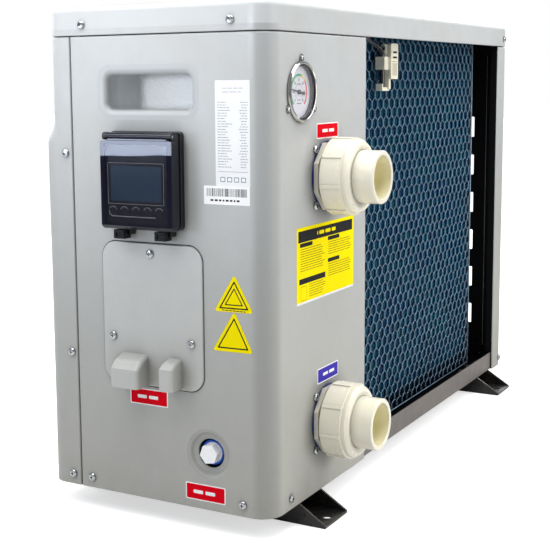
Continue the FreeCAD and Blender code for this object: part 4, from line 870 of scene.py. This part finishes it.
# ------------------------------------------------------------------ gauge dial art
GX, GZ, GY = 345.5, 495.8, None
dl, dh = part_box("gauge_dial")
GY = dh.y / M + 0.02
GX, GZ = (dl.x + dh.x) / 2 / M, (dl.z + dh.z) / 2 / M


def arc(b, r1, r2, t0, t1, y, mi, th=0.05):
    """Ring sector. Angles are as seen from behind the unit: 0 at the viewer's right, anticlockwise."""
    n = max(4, int(abs(t1 - t0) / 4))
    vs, fs = [], []
    for j in range(n + 1):
        t = math.radians(t0 + (t1 - t0) * j / n)
        for rr in (r1, r2):
            for hh in (0.0, th):
                vs.append((GX - rr * math.cos(t), y + hh, GZ + rr * math.sin(t)))
    for j in range(n):
        p, q = 4 * j, 4 * (j + 1)
        fs += [(p + 1, p + 3, q + 3, q + 1), (p, q, q + 2, p + 2), (p, p + 1, q + 1, q), (p + 2, q + 2, q + 3, p + 3)]
    fs += [(0, 2, 3, 1), (4 * n, 4 * n + 1, 4 * n + 3, 4 * n + 2)]
    b.add(vs, fs, mi)


AX0 = GX
GX = GX - 1.1
b = Build()
arc(b, 20.2, 17.7, 225, 72, GY, 0)
arc(b, 20.2, 17.7, 72, 41, GY, 1)
arc(b, 20.2, 17.7, 41, -45, GY, 2)
for q in range(31):
    t = 225 - 9.0 * q
    big = q % 5 == 0
    arc(b, 17.2, 15.2 if big else 16.2, t - (0.9 if big else 0.45), t + (0.9 if big else 0.45), GY, 3, 0.05)
arc(b, 9.0, 8.6, 225, -45, GY, 4)
for q in range(16):
    t = 225 - 18.0 * q
    arc(b, 10.2, 9.0, t - 0.9, t + 0.9, GY, 4)
# blank bars where small print would be
for zz, w in ((8.0, 9.0), (-9.5, 8.0), (-13.2, 12.0)):
    b.plate("y", GY, GX - w / 2, GX + w / 2, GZ + zz, GZ + zz + 1.2, 0.3, 0.05, 4, 2)
b.make("gauge_scale", ["dial_green", "dial_yellow", "dial_red", "print_black", "print_grey"], "cabinet", "dial_white")
for q in range(7):
    t = math.radians(225 - 45.0 * q)
    cu = bpy.data.curves.new("gauge_number_%d" % q, "FONT")
    cu.body = str(q * 10)
    cu.size = 0.0040
    cu.align_x = "CENTER"
    cu.align_y = "CENTER"
    cu.extrude = 0.00003
    ob = bpy.data.objects.new("gauge_number_%d" % q, cu)
    bpy.context.scene.collection.objects.link(ob)
    ob.rotation_euler = (math.radians(90), 0, math.radians(180))
    ob.location = ((GX - 12.9 * math.cos(t)) * M, (GY + 0.05) * M, (GZ + 12.9 * math.sin(t)) * M)
    ob.data.materials.append(MAT["print_black"])
    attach(ob, "cabinet")

GX = AX0
# a dark sheet standing in for shade on the bezel's inner wall between the dial and the lens: painted shade
lw = Build()
ll0, ll1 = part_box("gauge_lens")
r0 = (dh.x - dl.x) / 2 / M - 0.12
lw.lathe([(r0, GY + 0.05), (r0, ll0.y / M - 0.06), (r0 - 0.5, ll0.y / M - 0.06), (r0 - 0.5, GY + 0.05), (r0, GY + 0.05)], GX, GZ, "y", 72, 0)
lw.make("gauge_wall_shade", ["wall_painted_shade"], "cabinet", "dial_white", smooth=True, angle=40)

# blue sealing ring seen round the drain plug
ga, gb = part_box("drain_gasket")
pa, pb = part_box("drain_plug")
gy, gz = (ga.y + gb.y) / 2 / M, (ga.z + gb.z) / 2 / M
ring = Build()
gx = gb.x / M + 0.05
ring.lathe([(12.1, gx), (12.1, gx + 1.6), (13.9, gx + 2.6), (15.0, gx + 1.2), (15.0, gx), (12.1, gx)], gy, gz, "x", 64, 0)
ring.make("drain_ring", ["ring_blue"], "cabinet", "casing", smooth=True, angle=50)

# ------------------------------------------------------------------ dark joint round the wiring cover
cl2, ch2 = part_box("wiring_cover")
jb = Build()
jb.plate("x", XP - 2.9, -73.95, 63.95, 160.05, 328.45, 19.9, 0.6, 0, 10)
jb.make("cover_joint", ["black_rubber"], "cabinet", "casing")

# ------------------------------------------------------------------ ambient sensor details
hb0, hb1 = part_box("sensor_holder")
hy = 130.02
sb = Build()
for z0_, z1_ in ((544.2, 546.8), (537.4, 540.0)):
    sb.plate("y", hy, 25.2, 38.4, z0_, z1_, 0.5, 0.05, 0, 2)
for q in range(3):
    sb.plate("y", hy, 26.6 + 4.2 * q, 27.6 + 4.2 * q, 514.5, 531.0, 0.4, 0.05, 1, 2)
sb.plate("y", hy, 24.4, 41.5, 533.0, 533.6, 0.2, 0.05, 1, 1)
sb.lathe([(0.0, 47.2), (1.5, 47.2), (1.5, 47.9), (3.1, 48.4), (3.9, 47.6), (3.9, 47.0), (0.0, 47.0)], 119.5, 550.0, "x", 28, 2)
sb.lathe([(0.0, 47.2), (1.4, 47.2), (1.4, 47.35), (0.0, 47.35)], 119.5, 550.0, "x", 20, 0)
sb.lathe([(0.0, 47.2), (1.9, 47.2), (1.9, 47.5), (0.0, 47.5)], 119.5, 542.6, "x", 20, 0)
sb.make("sensor_details", ["print_black", "slot_brown", "zinc_steel"], "cabinet", "cream", angle=40)
lead = add("lead_gloss", (24, 20, 30), rough=0.16, var=0.1, vscale=120, bump=0.00001, bscale=1500, coat=0.8)
for s in N["ambient_sensor"].material_slots:
    s.material = MAT["lead_gloss"]

# ------------------------------------------------------------------ controller details
kb = Build()
sl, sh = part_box("display_glass")
sx = sh.x / M
sy0, sy1, sz0, sz1 = sl.y / M, sh.y / M, sl.z / M, sh.z / M


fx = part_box("controller_fascia")[1].x / M
frame_line(kb, "x", fx - 0.05, sy0 - 3.4, sy1 + 3.4, sz0 - 3.4, sz1 + 3.4, 0.45, 0.15, 0)
keys = []
for i in range(1, 6):
    a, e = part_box("key_%d" % i)
    keys.append(((a.y + e.y) / 2 / M, (a.z + e.z) / 2 / M, a.x / M))
kz = keys[0][1]
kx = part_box("controller_fascia")[1].x / M - 0.36
# thin relief line under the keys, turned up at its end, coloured near white: a painted highlight on its raised edge
pts = [(kx, keys[0][0] - 5.2, kz + 0.6), (kx, keys[0][0] - 4.6, kz - 3.2), (kx, keys[0][0] - 1.6, kz - 5.6), (kx, keys[1][0], kz - 5.8), (kx, keys[2][0], kz - 5.8),
       (kx, keys[3][0], kz - 5.8), (kx, keys[4][0] - 5.0, kz - 5.6)]
kb.tube(pts, 0.5, 8, 0)
# raised arcs over the keys, coloured near white: a painted highlight on their top edges
for yc, zc, _ in keys:
    ring = [(kx, yc + 5.3 * math.cos(t), zc + 5.3 * math.sin(t)) for t in [math.radians(a) for a in range(25, 156, 10)]]
    kb.tube(ring, 0.33, 6, 0)
kb.make("controller_relief", ["relief_line"], "cabinet", "black_plastic", angle=40)

# ------------------------------------------------------------------ floor, lights, camera
sc = bpy.context.scene
fl = bpy.data.meshes.new("floor")
S = 14.0
fl.from_pydata([(-S, -S, -0.0005), (S, -S, -0.0005), (S, S, -0.0005), (-S, S, -0.0005)], [], [(0, 1, 2, 3)])
fo = bpy.data.objects.new("floor", fl)
sc.collection.objects.link(fo)
k = surf("studio_floor", (236, 236, 236), rough=0.8, var=0.004, vscale=2.0, bump=0.00001, bscale=200)
X, Y, Z = k.xyz()
rr = k.math("SQRT", k.math("ADD", k.math("MULTIPLY", X, X), k.math("MULTIPLY", Y, Y)))
k.b.inputs["Emission Color"].default_value = (1, 1, 1, 1)
path = k.node("ShaderNodeLightPath")
src = k.b.inputs["Base Color"].links[0].from_socket
k.link(k.mixcol(path.outputs["Is Camera Ray"], lin(202, 202, 202), src), k.b.inputs["Base Color"])
lift = k.maprange(rr, 0.7, 2.4, 0.60, 1.0)
k.link(k.math("MULTIPLY", path.outputs["Is Camera Ray"], lift), k.b.inputs["Emission Strength"])
fl.materials.append(k.m)

w = bpy.data.worlds.new("studio")
sc.world = w
w.use_nodes = True
nt = w.node_tree
nt.nodes.clear()
wo = nt.nodes.new("ShaderNodeOutputWorld")
seen = nt.nodes.new("ShaderNodeBackground")
seen.inputs[0].default_value = (1, 1, 1, 1)
seen.inputs[1].default_value = 1.0
fill = nt.nodes.new("ShaderNodeBackground")
fill.inputs[0].default_value = (0.93, 0.96, 1.0, 1)
fill.inputs[1].default_value = WORLD
path = nt.nodes.new("ShaderNodeLightPath")
mx = nt.nodes.new("ShaderNodeMixShader")
nt.links.new(path.outputs["Is Camera Ray"], mx.inputs[0])
nt.links.new(fill.outputs[0], mx.inputs[1])
nt.links.new(seen.outputs[0], mx.inputs[2])
nt.links.new(mx.outputs[0], wo.inputs[0])


def area(name, loc, target, size, power, color=(1, 1, 1), sy=None):
    L = bpy.data.lights.new(name, "AREA")
    L.shape = "RECTANGLE"
    L.size = size
    L.size_y = sy or size
    L.energy = power
    L.color = color
    o = bpy.data.objects.new(name, L)
    sc.collection.objects.link(o)
    o.location = loc
    d = Vector(target) - Vector(loc)
    o.rotation_euler = d.to_track_quat("-Z", "Y").to_euler()
    return o


def spot(name, loc, target, degrees, power, color=(1, 1, 1), soft=0.25):
    L = bpy.data.lights.new(name, "SPOT")
    L.spot_size = math.radians(degrees)
    L.spot_blend = 1.0
    L.energy = power
    L.color = color
    L.shadow_soft_size = soft
    o = bpy.data.objects.new(name, L)
    sc.collection.objects.link(o)
    o.location = loc
    d = Vector(target) - Vector(loc)
    o.rotation_euler = d.to_track_quat("-Z", "Y").to_euler()
    return o


area("key_control_side", (1.25, -0.70, 1.35), (0.42, 0.0, 0.55), 0.7, 6.2, (0.97, 0.985, 1.0))
area("key_coil_side", (-0.70, 1.35, 1.25), (0.05, 0.15, 0.42), 1.0, 15, (1, 0.99, 0.97))
area("card_coil", (0.10, 1.95, 0.55), (0.10, 0.15, 0.35), 1.1, 8, (1, 0.99, 0.97), 0.8)
area("overhead", (0.35, 0.1, 1.9), (0.25, 0.0, 0.0), 1.6, 44, (1, 1, 1))
area("front_side", (-0.4, -2.2, 1.3), (-0.1, -0.15, 0.3), 1.4, 22, (1, 1, 1))
area("far_side", (-2.2, -0.2, 1.2), (-0.42, 0.0, 0.3), 1.2, 14, (1, 1, 1))
area("card", (1.95, -1.06, 0.415), (0.45, -0.01, 0.415), 0.62, 4.6, (0.70, 0.79, 1.0), 0.20)
spot("top_band", (2.2, -0.25, 0.68), (0.42, -0.05, 0.60), 16.5, 136, (0.97, 0.985, 1.0))

cam = bpy.data.cameras.new("cam")
co = bpy.data.objects.new("cam", cam)
sc.collection.objects.link(co)
F = 1171.24
cam.sensor_fit = "HORIZONTAL"
cam.sensor_width = 36.0
cam.lens = F / 550 * 36.0
cam.shift_x = 29.34 / 550
cam.shift_y = -34.19 / 550
cam.clip_start = 0.01
cam.clip_end = 60
yaw, pitch, roll = math.radians(209.405), math.radians(-7.725), math.radians(-0.496)
f = Vector((math.cos(yaw) * math.cos(pitch), math.sin(yaw) * math.cos(pitch), math.sin(pitch)))
r = f.cross(Vector((0, 0, 1))).normalized()
u = r.cross(f)
R = r * math.cos(roll) + u * math.sin(roll)
U = u * math.cos(roll) - r * math.sin(roll)
mw = Matrix((R, U, -f)).transposed().to_4x4()
mw.translation = Vector((1.5162, 0.7341, 0.5079))
co.matrix_world = mw
sc.camera = co
sc.view_settings.view_transform = "Standard"
sc.view_settings.look = "None"
